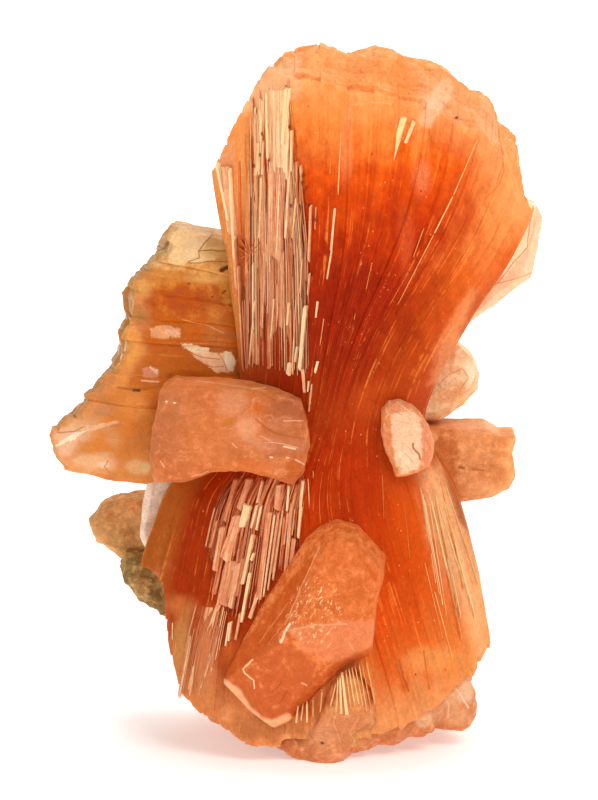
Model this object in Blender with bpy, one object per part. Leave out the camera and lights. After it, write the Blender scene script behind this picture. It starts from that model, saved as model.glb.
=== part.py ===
"""Stilbite specimen: a bow-tie sheaf of bladed crystals with a second sheaf grown through its waist, and
smaller crystals seated on it. Metres, +Z up, and the side that faces the viewer is -Y. The origin is on the
flat under the sheaf, where the specimen rests."""

import random

import bmesh
import bpy
from mathutils import Vector

MM = 0.001
CONTACT_GAP = 0.3 * MM
GROUND_CUTTER = 80 * MM

# Heights of the sheaf, in millimetres as all the tables below.
WAIST_HEIGHT = 31.7
WAIST_OVERLAP = 3.5

# The upper fan: its left and right edge as (height, x), its front and back as (height, y).
UPPER_LEFT = [(28, -7.4), (31.7, -7.8), (37.2, -8.0), (43.3, -8.5), (48.4, -9.2), (58, -10.7), (72, -12.4)]
UPPER_RIGHT = [(28, 9.6), (31.7, 10.2), (36.7, 11.7), (42.8, 15.0), (48.4, 18.5), (53.5, 20.9), (72, 24.6)]
UPPER_FRONT = [(28, -5.6), (31.7, -6.0), (40, -7.2), (50, -8.6), (60, -9.6), (72, -10.2)]
UPPER_BACK = [(28, 5.6), (31.7, 6.0), (45, 8.0), (60, 10.0), (72, 10.6)]

# The lower fan, from the waist down to the ground.
LOWER_LEFT = [(36, -7.0), (31.7, -9.2), (25.4, -13.4), (21, -16.0), (17, -18.0), (10, -20.6), (-3, -23.5)]
LOWER_RIGHT = [(36, 9.4), (31.7, 10.6), (25.1, 13.5), (18, 15.0), (10.9, 16.6), (-3, 19.0)]
LOWER_FRONT = [(36, -5.4), (31.7, -6.0), (25, -7.6), (15, -9.6), (5, -11.0), (-3, -11.8)]
LOWER_BACK = [(36, 5.4), (31.7, 6.0), (20, 8.5), (10, 11.0), (-3, 12.6)]

# How far the fans reach from front to back, as (share across from the left, share of the full depth).
GIRTH = [(0, 0.28), (0.08, 0.5), (0.2, 0.78), (0.32, 1.0), (0.65, 1.0), (0.85, 0.82), (0.95, 0.58), (1, 0.38)]

# Where the blades end, as (share across from the left, height of the tips in the middle of the depth).
UPPER_CAP = [
    (0, 57.0), (0.05, 60.5), (0.1, 63.2), (0.15, 66.0), (0.2, 68.1), (0.3, 70.2), (0.4, 69.4), (0.5, 70.0),
    (0.6, 68.9), (0.7, 67.8), (0.8, 65.4), (0.9, 61.4), (0.95, 58.4), (1, 53.5),
]
LOWER_CAP = [
    (0, 17.8), (0.1, 14.6), (0.15, 9.6), (0.2, 4.4), (0.3, 1.4), (0.4, -1.6), (0.5, -2.0), (0.7, -1.6),
    (0.86, 2.6), (0.94, 5.8), (1, 10.5),
]
UPPER_DOME = 7.5
LOWER_DOME = 4.5

# The blades' edges, as shares across from the left, and their rows, as shares from front to back.
UPPER_CUTS = [0, 0.055, 0.1, 0.17, 0.25, 0.33, 0.42, 0.5, 0.6, 0.69, 0.77, 0.86, 0.93, 1]
LOWER_CUTS = [0, 0.1, 0.16, 0.23, 0.31, 0.38, 0.46, 0.55, 0.63, 0.72, 0.81, 0.9, 1]
FAN_ROWS = [0, 0.3, 0.64, 1]

# The left wing of the sheaf that crosses behind the waist: its lower and upper edge as (x, height), its
# front and back as (x, y), and where its blades end as (share up from the lower edge, x).
WING_LOW = [(4, 29.6), (0, 29.0), (-10, 27.3), (-19, 26.2), (-28, 26.6)]
WING_TOP = [(4, 43.0), (0, 46.0), (-10, 50.5), (-15, 52.0), (-28, 55.0)]
WING_FRONT = [(4, 1.0), (-28, -2.0)]
WING_BACK = [(4, 8.0), (-28, 9.0)]
WING_CAP = [
    (0, -20.5), (0.05, -24.4), (0.12, -26.4), (0.2, -26.9), (0.27, -25.4), (0.36, -23.0), (0.46, -21.0),
    (0.58, -19.6), (0.7, -19.8), (0.8, -18.9), (0.88, -16.9), (0.95, -15.2), (1, -14.2),
]
WING_CUTS = [0, 0.1, 0.2, 0.29, 0.38, 0.48, 0.58, 0.67, 0.76, 0.84, 0.92, 1]
WING_ROWS = [0, 0.42, 1]
WING_DOME = 1.6

# Blades of one sheaf differ a little in length, depth and width.
LENGTH_JITTER = 0.75
DEPTH_JITTER = 0.055
ROW_JITTER = 0.07
NEIGHBOUR_OVERLAP = 0.14
BLADE_STATIONS = 4
TIP_LENGTH = 1.4
TIP_ACROSS = 0.66
TIP_DEEP = 0.5
TIP_SLANT = 0.7

# Crystals seen from the front as an outline of (x, height), with the y of their front and back faces.
RIGHT_BLOCK = [(4, 23.2), (14, 22.5), (17.6, 23.1), (18.9, 24.0), (19.5, 25.6), (19.1, 28.0), (19.5, 29.7),
               (18.3, 30.4), (16.8, 31.3), (4, 31.8)]
RIGHT_KNOB = [(5, 30.4), (12.4, 31.2), (14.6, 32.7), (16.0, 34.4), (16.2, 36.0), (15.5, 37.4), (14.2, 38.6),
              (12.0, 38.6), (6, 36.5)]
RIGHT_WEDGE = [(11, 40.5), (15, 41.4), (18, 43.6), (21.2, 46.2), (21.9, 49.4), (22.3, 52.1), (21.7, 53.3),
               (19.6, 53.9), (13, 50)]
PALE_FACET = [(-11, 19.5), (-17.0, 17.6), (-18.2, 20.0), (-17.9, 23.2), (-17.3, 25.5), (-11, 26.0)]
CROSS_CRYSTAL = [(-16.4, 27.3), (-13.2, 27.5), (-10.6, 28.4), (-7.6, 28.5), (-4.8, 27.9), (-2.6, 27.2),
                 (-1.6, 28.6), (-1.1, 31.0), (-1.3, 34.0), (-1.9, 36.4), (-5.2, 37.4), (-12.0, 38.1),
                 (-14.4, 37.9), (-15.6, 37.0), (-16.3, 33.0), (-16.8, 29.4)]
WAIST_CRYSTAL = [(8.2, 27.4), (10.0, 27.6), (11.0, 28.9), (11.4, 30.9), (11.1, 33.0), (10.0, 34.6),
                 (8.4, 35.4), (6.9, 35.0), (6.7, 33.0), (7.5, 29.6)]
LOWER_LEFT_CRYSTAL = [(-10.5, 16.8), (-17.5, 16.6), (-20.2, 17.2), (-22.3, 18.4), (-23.4, 20.0),
                      (-22.2, 21.7), (-20.0, 22.6), (-10.5, 22.9)]
MATRIX_REMNANT = [(-12.5, 10.8), (-15.3, 11.6), (-17.1, 12.3), (-18.7, 13.9), (-20.0, 16.0), (-17.8, 17.6),
                  (-12.5, 18.0)]
BLOCK_RIM = [(5.1, 11.2), (5.6, 15.9), (6.3, 18.4), (6.3, 20.3), (3.7, 23.2), (1.7, 23.8), (0, 23.2),
             (-1.4, 22.0), (-3.5, 18.9), (-5.8, 15.4), (-9.1, 9.1), (-9.6, 8.0), (-6.7, 5.0), (-4.6, 3.5),
             (-3.3, 4.0), (-0.2, 7.2), (2.5, 9.7), (3.8, 10.3)]
BLOCK_FACE = [(4.6, 11.9), (4.9, 15.6), (5.5, 18.2), (5.4, 19.8), (3.3, 22.2), (1.7, 22.6), (0.5, 22.0),
              (-0.3, 20.9), (-2.0, 18.2), (-4.2, 14.9), (-6.8, 12.0), (-6.4, 11.6), (-4.6, 11.5), (-2.8, 11.3),
              (-1.2, 11.1), (0.8, 10.9), (2.8, 10.9), (3.9, 11.2)]
BLOCK_DEPTHS = {"face": -14.0, "rim": -11.8, "back": -6.6}
BLOCK_LEAN = -0.14

# Stubby crystals at the foot, as (middle x, middle y, half width, half depth, height). They stand on the
# ground and run into one another.
FOOT_CRYSTALS = {
    "front": (0.6, -8.4, 3.9, 4.2, 8.5),
    "front_left": (-5.4, -6.2, 4.2, 3.8, 7.0),
    "front_right": (6.2, -4.6, 4.3, 4.8, 8.0),
    "right": (11.6, 0.4, 4.2, 4.6, 9.5),
    "left": (-8.6, -0.6, 3.8, 4.6, 8.0),
    "back_right": (5.6, 6.6, 5.4, 5.4, 12.0),
    "back_left": (-4.4, 6.0, 5.2, 5.2, 11.0),
}
FOOT_STATIONS = [(-0.1, 0.72), (0.16, 1.0), (0.6, 0.96), (1.0, 0.6)]
FOOT_CORNER = 0.5
FOOT_FAN = [(-3.4, 4.6), (0.4, 3.6), (3.6, 4.8), (6.4, 7.6), (5.6, 10.4), (1.6, 9.2), (-1.4, 6.8)]

EDGE_CUT = 0.7


def value_at(table, place):
    """The value at a place in a table of (place, value), on straight lines between its points."""
    points = sorted(table)
    if place <= points[0][0]:
        return points[0][1]
    for (low, start), (high, end) in zip(points, points[1:]):
        if place <= high:
            return start + (end - start) * (place - low) / (high - low)
    return points[-1][1]


def mix(start, end, share):
    return start + (end - start) * share


def material(name, colour, roughness):
    made = bpy.data.materials.new(name)
    made.use_nodes = True
    shader = made.node_tree.nodes["Principled BSDF"]
    shader.inputs["Base Color"].default_value = (*colour, 1.0)
    shader.inputs["Roughness"].default_value = roughness
    shader.inputs["Metallic"].default_value = 0.0
    return made


def solid_from_rings(name, rings):
    """A closed solid from rings of corners, in millimetres, all with the same count, first to last."""
    mesh = bmesh.new()
    loops = [[mesh.verts.new(Vector(corner) * MM) for corner in ring] for ring in rings]
    count = len(loops[0])
    for near, far in zip(loops, loops[1:]):
        for i in range(count):
            j = (i + 1) % count
            mesh.faces.new((near[i], near[j], far[j], far[i]))
    mesh.faces.new(reversed(loops[0]))
    mesh.faces.new(loops[-1])
    bmesh.ops.recalc_face_normals(mesh, faces=mesh.faces)
    if mesh.calc_volume(signed=True) < 0:
        bmesh.ops.reverse_faces(mesh, faces=mesh.faces)
    data = bpy.data.meshes.new(name)
    mesh.to_mesh(data)
    mesh.free()
    made = bpy.data.objects.new(name, data)
    bpy.context.scene.collection.objects.link(made)
    return made


class Fan:
    """Half a sheaf. A place in it is (length, across, deep): how far along the blades, and the shares from
    one edge to the other and from front to back."""

    def __init__(self, edges, depths, cap, dome, girth, upright):
        self.start_edge, self.end_edge = edges
        self.front, self.back = depths
        self.cap = cap
        self.dome = dome
        self.girth = girth
        self.upright = upright

    def place(self, length, across, deep):
        side = mix(value_at(self.start_edge, length), value_at(self.end_edge, length), across)
        front, back = value_at(self.front, length), value_at(self.back, length)
        reach = (back - front) * value_at(self.girth, across)
        y = (front + back) / 2 + (deep - 0.5) * reach
        return (side, y, length) if self.upright else (length, y, side)

    def tip(self, across, deep, outward):
        """How far a blade reaches: the cap falls away from the middle of the depth."""
        return value_at(self.cap, across) - outward * self.dome * (2 * deep - 1) ** 2


def blade(fan, name, across, deep, root, longer, outward):
    """One blade of a fan: four sides that follow the fan, and a chisel tip that slants as the cap does."""
    (left, right), (front, back) = across, deep
    middle_across, middle_deep = (left + right) / 2, (front + back) / 2
    tip = fan.tip(middle_across, middle_deep, outward) + longer
    lean = TIP_SLANT * (value_at(fan.cap, right) - value_at(fan.cap, left)) / 2
    shoulder = tip - outward * TIP_LENGTH
    stations = [(mix(root, shoulder, i / BLADE_STATIONS), i / BLADE_STATIONS) for i in range(BLADE_STATIONS + 1)]
    rings = []
    for length, slant in [*stations, (tip, 1.0)]:
        at_tip = len(rings) > BLADE_STATIONS
        wide = (right - left) / 2 * (TIP_ACROSS if at_tip else 1)
        thick = (back - front) / 2 * (TIP_DEEP if at_tip else 1)
        lift = lean * slant * (TIP_ACROSS if at_tip else 1)
        corners = ((-1, -1), (1, -1), (1, 1), (-1, 1))
        rings.append(
            [fan.place(length + a * lift, middle_across + a * wide, middle_deep + d * thick) for a, d in corners]
        )
    return solid_from_rings(name, rings)


def fan_blades(fan, name, cuts, rows, root, outward, seed):
    """All blades of a fan. Each laps over its neighbours, and its length and depth differ a little."""
    chance = random.Random(seed)
    blades = []
    for left, right in zip(cuts, cuts[1:]):
        lap = NEIGHBOUR_OVERLAP * (right - left)
        across = (max(0.0, left - lap), min(1.0, right + lap))
        inner = [row + chance.uniform(-ROW_JITTER, ROW_JITTER) for row in rows[1:-1]]
        outer = [row + chance.uniform(-DEPTH_JITTER, DEPTH_JITTER) for row in (rows[0], rows[-1])]
        edges = [outer[0], *inner, outer[1]]
        for front, back in zip(edges, edges[1:]):
            lap = NEIGHBOUR_OVERLAP * (back - front)
            near = front if front == edges[0] else front - lap
            far = back if back == edges[-1] else back + lap
            longer = chance.uniform(-LENGTH_JITTER, LENGTH_JITTER)
            start = root + chance.uniform(-0.4, 0.4)
            blades.append(blade(fan, f"{name}_{len(blades)}", across, (near, far), start, longer, outward))
    return blades


def slab(name, outline, front, back, edge_cut=EDGE_CUT, lean=0.0):
    """A crystal from its outline as seen from the front, its edges cut at both faces. With a lean, the
    front face comes forward as it rises."""
    count = len(outline)
    middle = Vector((sum(p[0] for p in outline) / count, sum(p[1] for p in outline) / count))
    inner = []
    for corner in outline:
        inward = middle - Vector(corner)
        inner.append(Vector(corner) + inward.normalized() * min(edge_cut, inward.length / 2))

    def ring(points, y):
        return [(x, y - lean * (z - middle.y), z) for x, z in points]

    rings = [
        ring(inner, front),
        ring(outline, front + edge_cut),
        ring(outline, back - edge_cut),
        ring(inner, back),
    ]
    return solid_from_rings(name, rings)


def grown(crystal):
    """A copy of a crystal that is larger all round by the gap that two touching pieces keep."""
    mesh = bmesh.new()
    mesh.from_mesh(crystal.data)
    mesh.normal_update()
    offsets = [vert.normal * CONTACT_GAP * vert.calc_shell_factor() for vert in mesh.verts]
    for vert, offset in zip(mesh.verts, offsets):
        vert.co += offset
    data = bpy.data.meshes.new(crystal.name + "_grown")
    mesh.to_mesh(data)
    mesh.free()
    made = bpy.data.objects.new(crystal.name + "_grown", data)
    bpy.context.scene.collection.objects.link(made)
    return made


def combine(base, others, operation):
    """Joins the other solids to the base, or cuts them from it, and removes them."""
    group = bpy.data.collections.new(base.name + "_others")
    for other in others:
        group.objects.link(other)
    modifier = base.modifiers.new(operation.title(), "BOOLEAN")
    modifier.operation = operation
    modifier.operand_type = "COLLECTION"
    modifier.collection = group
    modifier.solver = "EXACT"
    bpy.context.view_layer.objects.active = base
    with bpy.context.temp_override(object=base, active_object=base, selected_objects=[base]):
        bpy.ops.object.modifier_apply(modifier=modifier.name)
    for other in others:
        bpy.data.objects.remove(other)
    bpy.data.collections.remove(group)
    return base


def ground():
    """A block whose top is the ground. It cuts the foot flat."""
    mesh = bmesh.new()
    bmesh.ops.create_cube(mesh, size=GROUND_CUTTER)
    bmesh.ops.translate(mesh, verts=mesh.verts, vec=(0, 0, -GROUND_CUTTER / 2))
    data = bpy.data.meshes.new("ground")
    mesh.to_mesh(data)
    mesh.free()
    made = bpy.data.objects.new("ground", data)
    bpy.context.scene.collection.objects.link(made)
    return made


def main_sheaf_blades():
    """The bow tie: the upper and the lower fan, which lap over each other at the waist."""
    upper = Fan((UPPER_LEFT, UPPER_RIGHT), (UPPER_FRONT, UPPER_BACK), UPPER_CAP, UPPER_DOME, GIRTH, True)
    lower = Fan((LOWER_LEFT, LOWER_RIGHT), (LOWER_FRONT, LOWER_BACK), LOWER_CAP, LOWER_DOME, GIRTH, True)
    blades = fan_blades(upper, "upper", UPPER_CUTS, FAN_ROWS, WAIST_HEIGHT - WAIST_OVERLAP, 1, 11)
    blades += fan_blades(lower, "lower", LOWER_CUTS, FAN_ROWS, WAIST_HEIGHT + WAIST_OVERLAP, -1, 23)
    return blades


def crossing_sheaf():
    """The sheaf that lies across, behind the waist: a wing of blades on the left, blunt ends on the right."""
    wing = Fan((WING_LOW, WING_TOP), (WING_FRONT, WING_BACK), WING_CAP, WING_DOME, [(0, 1.0), (1, 0.7)], False)
    blades = fan_blades(wing, "wing", WING_CUTS, WING_ROWS, 3.0, -1, 37)
    blades.append(slab("right_block", RIGHT_BLOCK, 3.4, 10.6))
    blades.append(slab("right_knob", RIGHT_KNOB, 4.2, 11.2, edge_cut=1.2))
    blades.append(slab("right_wedge", RIGHT_WEDGE, 2.4, 8.4, edge_cut=0.9))
    blades.append(slab("pale_facet", PALE_FACET, 0.6, 6.4))
    return blades


def knob(name, x, y, half_width, half_depth, height):
    """A stubby upright crystal with its four upright edges cut."""
    cut = FOOT_CORNER
    corners = [(-1, -cut), (-cut, -1), (cut, -1), (1, -cut), (1, cut), (cut, 1), (-cut, 1), (-1, cut)]
    rings = []
    for level, size in FOOT_STATIONS:
        rings.append([(x + half_width * size * a, y + half_depth * size * d, level * height) for a, d in corners])
    return solid_from_rings(name, rings)


def foot_crystals():
    feet = [knob("foot_" + name, *sizes) for name, sizes in FOOT_CRYSTALS.items()]
    feet.append(slab("foot_fan", FOOT_FAN, -12.9, -8.0))
    return feet


def block_crystal():
    """The blocky crystal that leans on the lower fan: a raised face, and a darker slope to its lower end."""

    def ring(points, y):
        return [(x, y - BLOCK_LEAN * (z - 14), z) for x, z in points]

    faces = [ring(BLOCK_FACE, BLOCK_DEPTHS["face"]), ring(BLOCK_RIM, BLOCK_DEPTHS["rim"])]
    faces.append(ring(BLOCK_RIM, BLOCK_DEPTHS["back"]))
    return solid_from_rings("front_block_crystal", faces)


def build():
    orange = material("deep orange stilbite", (0.72, 0.12, 0.015), 0.35)
    peach = material("peach stilbite", (0.75, 0.27, 0.10), 0.55)
    cream = material("cream stilbite", (0.90, 0.50, 0.28), 0.5)
    rock = material("dark matrix", (0.10, 0.08, 0.04), 0.9)

    seated = {
        slab("front_cross_crystal", CROSS_CRYSTAL, -9.8, -1.4, edge_cut=0.9): peach,
        block_crystal(): peach,
        slab("waist_crystal", WAIST_CRYSTAL, -7.8, -3.6, edge_cut=0.8): cream,
        slab("lower_left_crystal", LOWER_LEFT_CRYSTAL, 6.6, 12.6, edge_cut=1.0): peach,
    }
    remnant = slab("matrix_remnant", MATRIX_REMNANT, 3.8, 11.0, edge_cut=1.2)
    combine(remnant, [grown(crystal) for crystal in seated], "DIFFERENCE")
    seated[remnant] = rock

    blades = main_sheaf_blades() + crossing_sheaf() + foot_crystals()
    sheaf = blades[0]
    combine(sheaf, blades[1:], "UNION")
    combine(sheaf, [ground()] + [grown(crystal) for crystal in seated], "DIFFERENCE")
    sheaf.name = "bow_tie_sheaf"

    sheaf.data.materials.append(orange)
    for crystal, finish in seated.items():
        crystal.data.materials.append(finish)


for leftover in list(bpy.data.objects):
    bpy.data.objects.remove(leftover)
build()
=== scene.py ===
"""Looks of the stilbite specimen: an orange bow-tie sheaf of blades, a second sheaf that crosses behind its
waist, pearly splinters on its cleaved left side, and smaller frosted crystals seated on its front. Lengths
are in millimetres until a mesh is finished. +Z is up, and -Y faces the camera."""

import math
import random

import bpy
import numpy as np
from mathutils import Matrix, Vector, noise


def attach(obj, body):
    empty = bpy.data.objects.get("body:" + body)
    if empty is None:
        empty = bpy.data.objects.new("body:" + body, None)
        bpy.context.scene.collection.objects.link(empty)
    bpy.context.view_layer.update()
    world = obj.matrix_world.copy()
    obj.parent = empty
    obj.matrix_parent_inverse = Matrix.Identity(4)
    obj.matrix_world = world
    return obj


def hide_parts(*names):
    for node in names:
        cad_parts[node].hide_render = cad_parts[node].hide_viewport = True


MM = 0.001

# What the random widths and steps of the blades and splinters start from
SHEAF_SEED = 5
WING_SEED = 9
SPLINTER_SEED = 31

# The camera stands where the photograph's did: ten degrees above the horizon, and far away for its size.
CAMERA_TARGET = (-2.1, 0.0, 34.2)
CAMERA_DISTANCE = 400.0
CAMERA_RISE = math.radians(10)
CAMERA_LENS = 180.0

# The photograph's scale: the column of x = 0 and the row of the ground, the millimetres to a column and to a
# row, and how much of a depth shows as height, because the camera looks down.
MIDDLE_COLUMN = 320
GROUND_ROW = 737
COLUMN_MM = 0.1
ROW_MM = 0.1015
DEPTH_AS_HEIGHT = 0.177

# The sheaf, with heights first: its left and right edge as (height, x), front and back as (height, y).
WAIST = 31.7
SHEAF_LEFT = [
    (-2, -23.4), (10, -20.6), (17, -18.2), (21, -16.8), (25.4, -15.0), (31.7, -8.8), (34.5, -7.9),
    (37.2, -7.9), (43.3, -8.5), (48.4, -9.2), (58, -10.7), (72, -12.4),
]
SHEAF_RIGHT = [
    (-2, 18.8), (10.9, 16.9), (18, 15.6), (25.1, 13.6), (31.7, 10.4), (36.7, 11.7), (42.8, 15.0),
    (48.4, 18.5), (53.5, 20.9), (72, 24.6),
]
SHEAF_FRONT = [
    (-2, -11.7), (5, -11.0), (15, -9.6), (25, -7.6), (31.7, -6.0), (40, -7.2), (50, -8.6), (60, -9.6),
    (72, -10.2),
]
SHEAF_BACK = [(-2, 12.5), (10, 11.0), (20, 8.5), (31.7, 6.0), (45, 8.0), (60, 10.0), (72, 10.6)]
SHEAF_GIRTH = [
    (0, 0.28), (0.08, 0.5), (0.2, 0.78), (0.32, 1.0), (0.65, 1.0), (0.85, 0.84), (0.95, 0.56), (1, 0.36),
]

# Where the blades end behind the front row, as (share across from the left, height).
UPPER_CAP = [
    (0, 56.4), (0.018, 57.9), (0.053, 59.4), (0.085, 61.8), (0.149, 65.0), (0.172, 66.2), (0.236, 68.5),
    (0.28, 69.2), (0.33, 69.5), (0.375, 68.9), (0.4, 68.5), (0.44, 68.8), (0.486, 69.3), (0.53, 69.2),
    (0.556, 68.4), (0.614, 68.2), (0.675, 67.2), (0.71, 66.3), (0.75, 65.2), (0.775, 64.7), (0.81, 64.0),
    (0.825, 63.2), (0.845, 61.9), (0.893, 61.1), (0.91, 60.0), (0.93, 58.4), (0.95, 56.6), (1, 53.0),
]
LOWER_CAP = [
    (0, 17.9), (0.1, 16.4), (0.12, 14.8), (0.155, 11.0), (0.18, 7.4), (0.2, 4.4), (0.23, 3.0), (0.3, 1.4),
    (0.4, -1.6), (0.7, -1.6), (0.86, 2.6), (0.95, 5.6), (1, 9.4),
]
UPPER_DOME = 2.4
LOWER_DOME = 4.5

# Where the blades of the front row end.
UPPER_FRONT = [
    (0, 57.0), (0.055, 60.2), (0.105, 63.2), (0.15, 65.8), (0.19, 67.7), (0.262, 67.5), (0.33, 67.0),
    (0.405, 66.2), (0.475, 65.9), (0.545, 65.0), (0.62, 64.4), (0.7, 63.5), (0.775, 62.2), (0.845, 59.9),
    (0.9, 58.0), (0.95, 55.8), (1, 53.0),
]
LOWER_FRONT = [
    (0, 17.9), (0.05, 17.3), (0.09, 16.2), (0.112, 14.6), (0.15, 10.2), (0.2, 6.4), (0.29, 4.0), (0.37, 2.0),
    (0.6, 2.0), (0.75, 3.2), (0.88, 5.6), (0.94, 8.0), (1, 10.5),
]

# The broad blades: where each starts across the fan, how far it stands forward, and how far its end steps
# out of line.
UPPER_BLADES = [
    (0.0, -0.4, 0.0), (0.055, -0.1, 0.2), (0.105, 0.0, 0.0), (0.165, 0.0, 0.1), (0.262, -0.05, -0.3),
    (0.33, 0.05, 0.1), (0.405, 0.36, -0.25), (0.475, 0.3, 0.05), (0.545, 0.0, -0.2), (0.62, 0.2, 0.15),
    (0.7, -0.05, -0.1), (0.775, 0.1, 0.2), (0.845, -0.1, -0.1), (0.9, -0.3, 0.1), (0.95, -0.45, 0.0),
]
LOWER_BLADES = [
    (0.0, -0.4, 0.0), (0.065, -0.1, 0.2), (0.13, 0.1, -0.2), (0.2, 0.2, 0.1), (0.29, 0.0, 0.0),
    (0.37, 0.0, 0.3), (0.46, -0.1, -0.2), (0.53, 0.1, 0.1), (0.6, 0.3, 0.0), (0.68, 0.05, -0.3),
    (0.75, 0.2, 0.2), (0.82, -0.05, -0.1), (0.88, 0.05, 0.1), (0.94, -0.3, 0.0),
]
SHEAF_LAYERS = [0, 0.09, 0.24, 0.42, 0.6, 0.8, 1]

# The upper blades spread from the middle of the waist: shares at the top, and where they are at the waist.
WARP_TOP = [0, 0.2, 0.41, 0.6, 0.77, 0.9, 1]
WARP_WAIST = [0, 0.17, 0.4, 0.48, 0.6, 0.78, 1]

# The wing of the crossing sheaf: edges and depths by how far it reaches to the left.
WING_LOW = [(-4, 29.6), (0, 29.0), (10, 27.1), (17, 25.7), (21.3, 26.1), (24.8, 27.0), (28, 28.4)]
WING_TOP = [(-4, 43.0), (0, 46.0), (10, 50.1), (15, 51.6), (28, 54.6)]
WING_FRONT = [(-4, 1.0), (28, -2.0)]
WING_BACK = [(-4, 4.6), (-1, 5.4), (5, 8.0), (28, 9.0)]
WING_GIRTH = [(0, 0.8), (0.12, 1.0), (0.85, 1.0), (1, 0.6)]
WING_CAP = [
    (0, 25.3), (0.025, 26.3), (0.05, 26.7), (0.09, 27.0), (0.14, 26.8), (0.17, 25.9), (0.226, 24.5),
    (0.26, 23.8), (0.29, 23.2), (0.315, 22.6), (0.35, 22.0), (0.4, 21.3), (0.43, 20.8), (0.467, 20.3),
    (0.53, 19.8), (0.61, 18.9), (0.65, 18.9), (0.69, 18.7), (0.77, 18.2), (0.82, 17.0), (0.86, 16.5),
    (0.91, 15.6), (0.955, 14.9), (1, 14.2),
]
WING_DOME = 1.4
WING_ROOT = -4.0
WING_BLADES = [
    (0.0, -0.1, 0.0), (0.1, 0.1, 0.2), (0.22, 0.2, -0.2), (0.3, -0.05, 0.3), (0.42, -0.2, -0.2),
    (0.55, 0.05, 0.2), (0.64, 0.15, -0.1), (0.74, -0.15, 0.3), (0.86, 0.1, -0.3), (0.94, -0.1, 0.1),
]
WING_LAYERS = [0, 0.2, 0.6, 1]

# Crystals seen from the front, as outlines of (x, height).
RIGHT_BLOCK = [
    (5, 24.0), (9, 23.1), (14, 22.9), (17.6, 23.4), (19.2, 24.3), (19.9, 25.6), (19.5, 28.0), (19.9, 29.7),
    (18.3, 29.7), (16.8, 30.5), (9, 30.7), (5, 30.0), (3.4, 27.4),
]
RIGHT_KNOB = [
    (5.4, 31.6), (8, 31.0), (12.4, 31.2), (14.6, 32.7), (16.0, 34.4), (16.2, 36.0), (15.5, 37.4),
    (14.2, 38.6), (12.0, 38.6), (8, 37.4), (6, 35.5), (4.6, 33.5),
]
RIGHT_WEDGE = [
    (9.6, 41.6), (11.6, 40.7), (15, 41.4), (18, 43.6), (21.2, 46.2), (21.9, 49.4), (22.3, 52.1), (21.7, 53.3),
    (19.6, 53.9), (14, 51.5), (10.6, 47.4),
]
PALE_FACET = [
    (-11, 19.5), (-17.0, 17.6), (-18.2, 20.0), (-17.9, 23.2), (-17.3, 25.9), (-16.2, 27.6), (-11, 28.4),
]
CROSS_CRYSTAL = [
    (-16.4, 27.3), (-13.2, 27.5), (-10.6, 28.4), (-7.6, 28.5), (-4.8, 27.9), (-2.6, 27.2), (-1.6, 28.6),
    (-1.1, 31.0), (-1.3, 33.6), (-1.9, 35.5), (-5.2, 36.5), (-12.0, 37.2), (-14.4, 37.1), (-15.6, 36.3),
    (-16.3, 33.0), (-16.8, 29.4),
]
WAIST_CRYSTAL = [
    (9.6, 28.2), (10.6, 28.8), (11.2, 30.2), (11.1, 31.3), (10.7, 32.7), (10.0, 33.8), (8.9, 34.7),
    (7.9, 35.2), (6.7, 35.2), (6.1, 34.2), (6.0, 32.2), (6.4, 30.6), (7.0, 29.3), (7.5, 27.8), (8.6, 27.9),
]
LOWER_LEFT_CRYSTAL = [
    (-10.5, 16.8), (-17.5, 16.0), (-20.6, 16.5), (-22.8, 18.0), (-23.7, 19.8), (-22.2, 21.7), (-20.0, 22.6),
    (-10.5, 22.9),
]
MATRIX_REMNANT = [
    (-12.5, 10.4), (-15.8, 10.9), (-17.6, 12.0), (-19.2, 13.4), (-20.4, 15.6), (-19.6, 17.4), (-12.5, 18.0),
]
BLOCK_RIM = [
    (5.1, 11.2), (5.6, 15.9), (6.3, 18.4), (6.3, 20.3), (3.7, 23.2), (1.7, 23.8), (0, 23.2), (-1.4, 22.0),
    (-3.5, 18.9), (-5.8, 15.4), (-9.1, 9.1), (-9.6, 8.0), (-6.7, 5.0), (-4.6, 3.5), (-3.3, 4.0), (-0.2, 7.2),
    (2.5, 9.7), (3.8, 10.3),
]
BLOCK_FACE = [
    (5.0, 12.7), (5.3, 15.9), (5.8, 18.3), (5.7, 19.7), (3.2, 22.3), (1.6, 22.7), (0.7, 22.4), (0.2, 20.9),
    (-0.7, 18.2), (-1.9, 15.4), (-3.3, 13.1), (-3.2, 12.8), (-2.6, 12.7), (-1.6, 12.6), (-0.6, 12.6),
    (1.2, 12.5), (3.0, 12.5), (4.2, 12.5),
]
BLOCK_DEPTHS = {"face": -14.2, "rim": -10.8, "back": -6.6}
BLOCK_LEAN = -0.14
BLOCK_MIDDLE = 14
CROSS_DEPTHS = {"front": -10.3, "back": -1.4, "bulge": 1.5}
WAIST_DEPTHS = {"front": -8.2, "back": -3.6, "bulge": 0.7}
LOWER_LEFT_DEPTHS = {"front": 6.4, "back": 12.6, "bulge": 1.1}
MATRIX_DEPTHS = {"front": 3.8, "back": 11.0, "edge_cut": 1.2}

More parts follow.
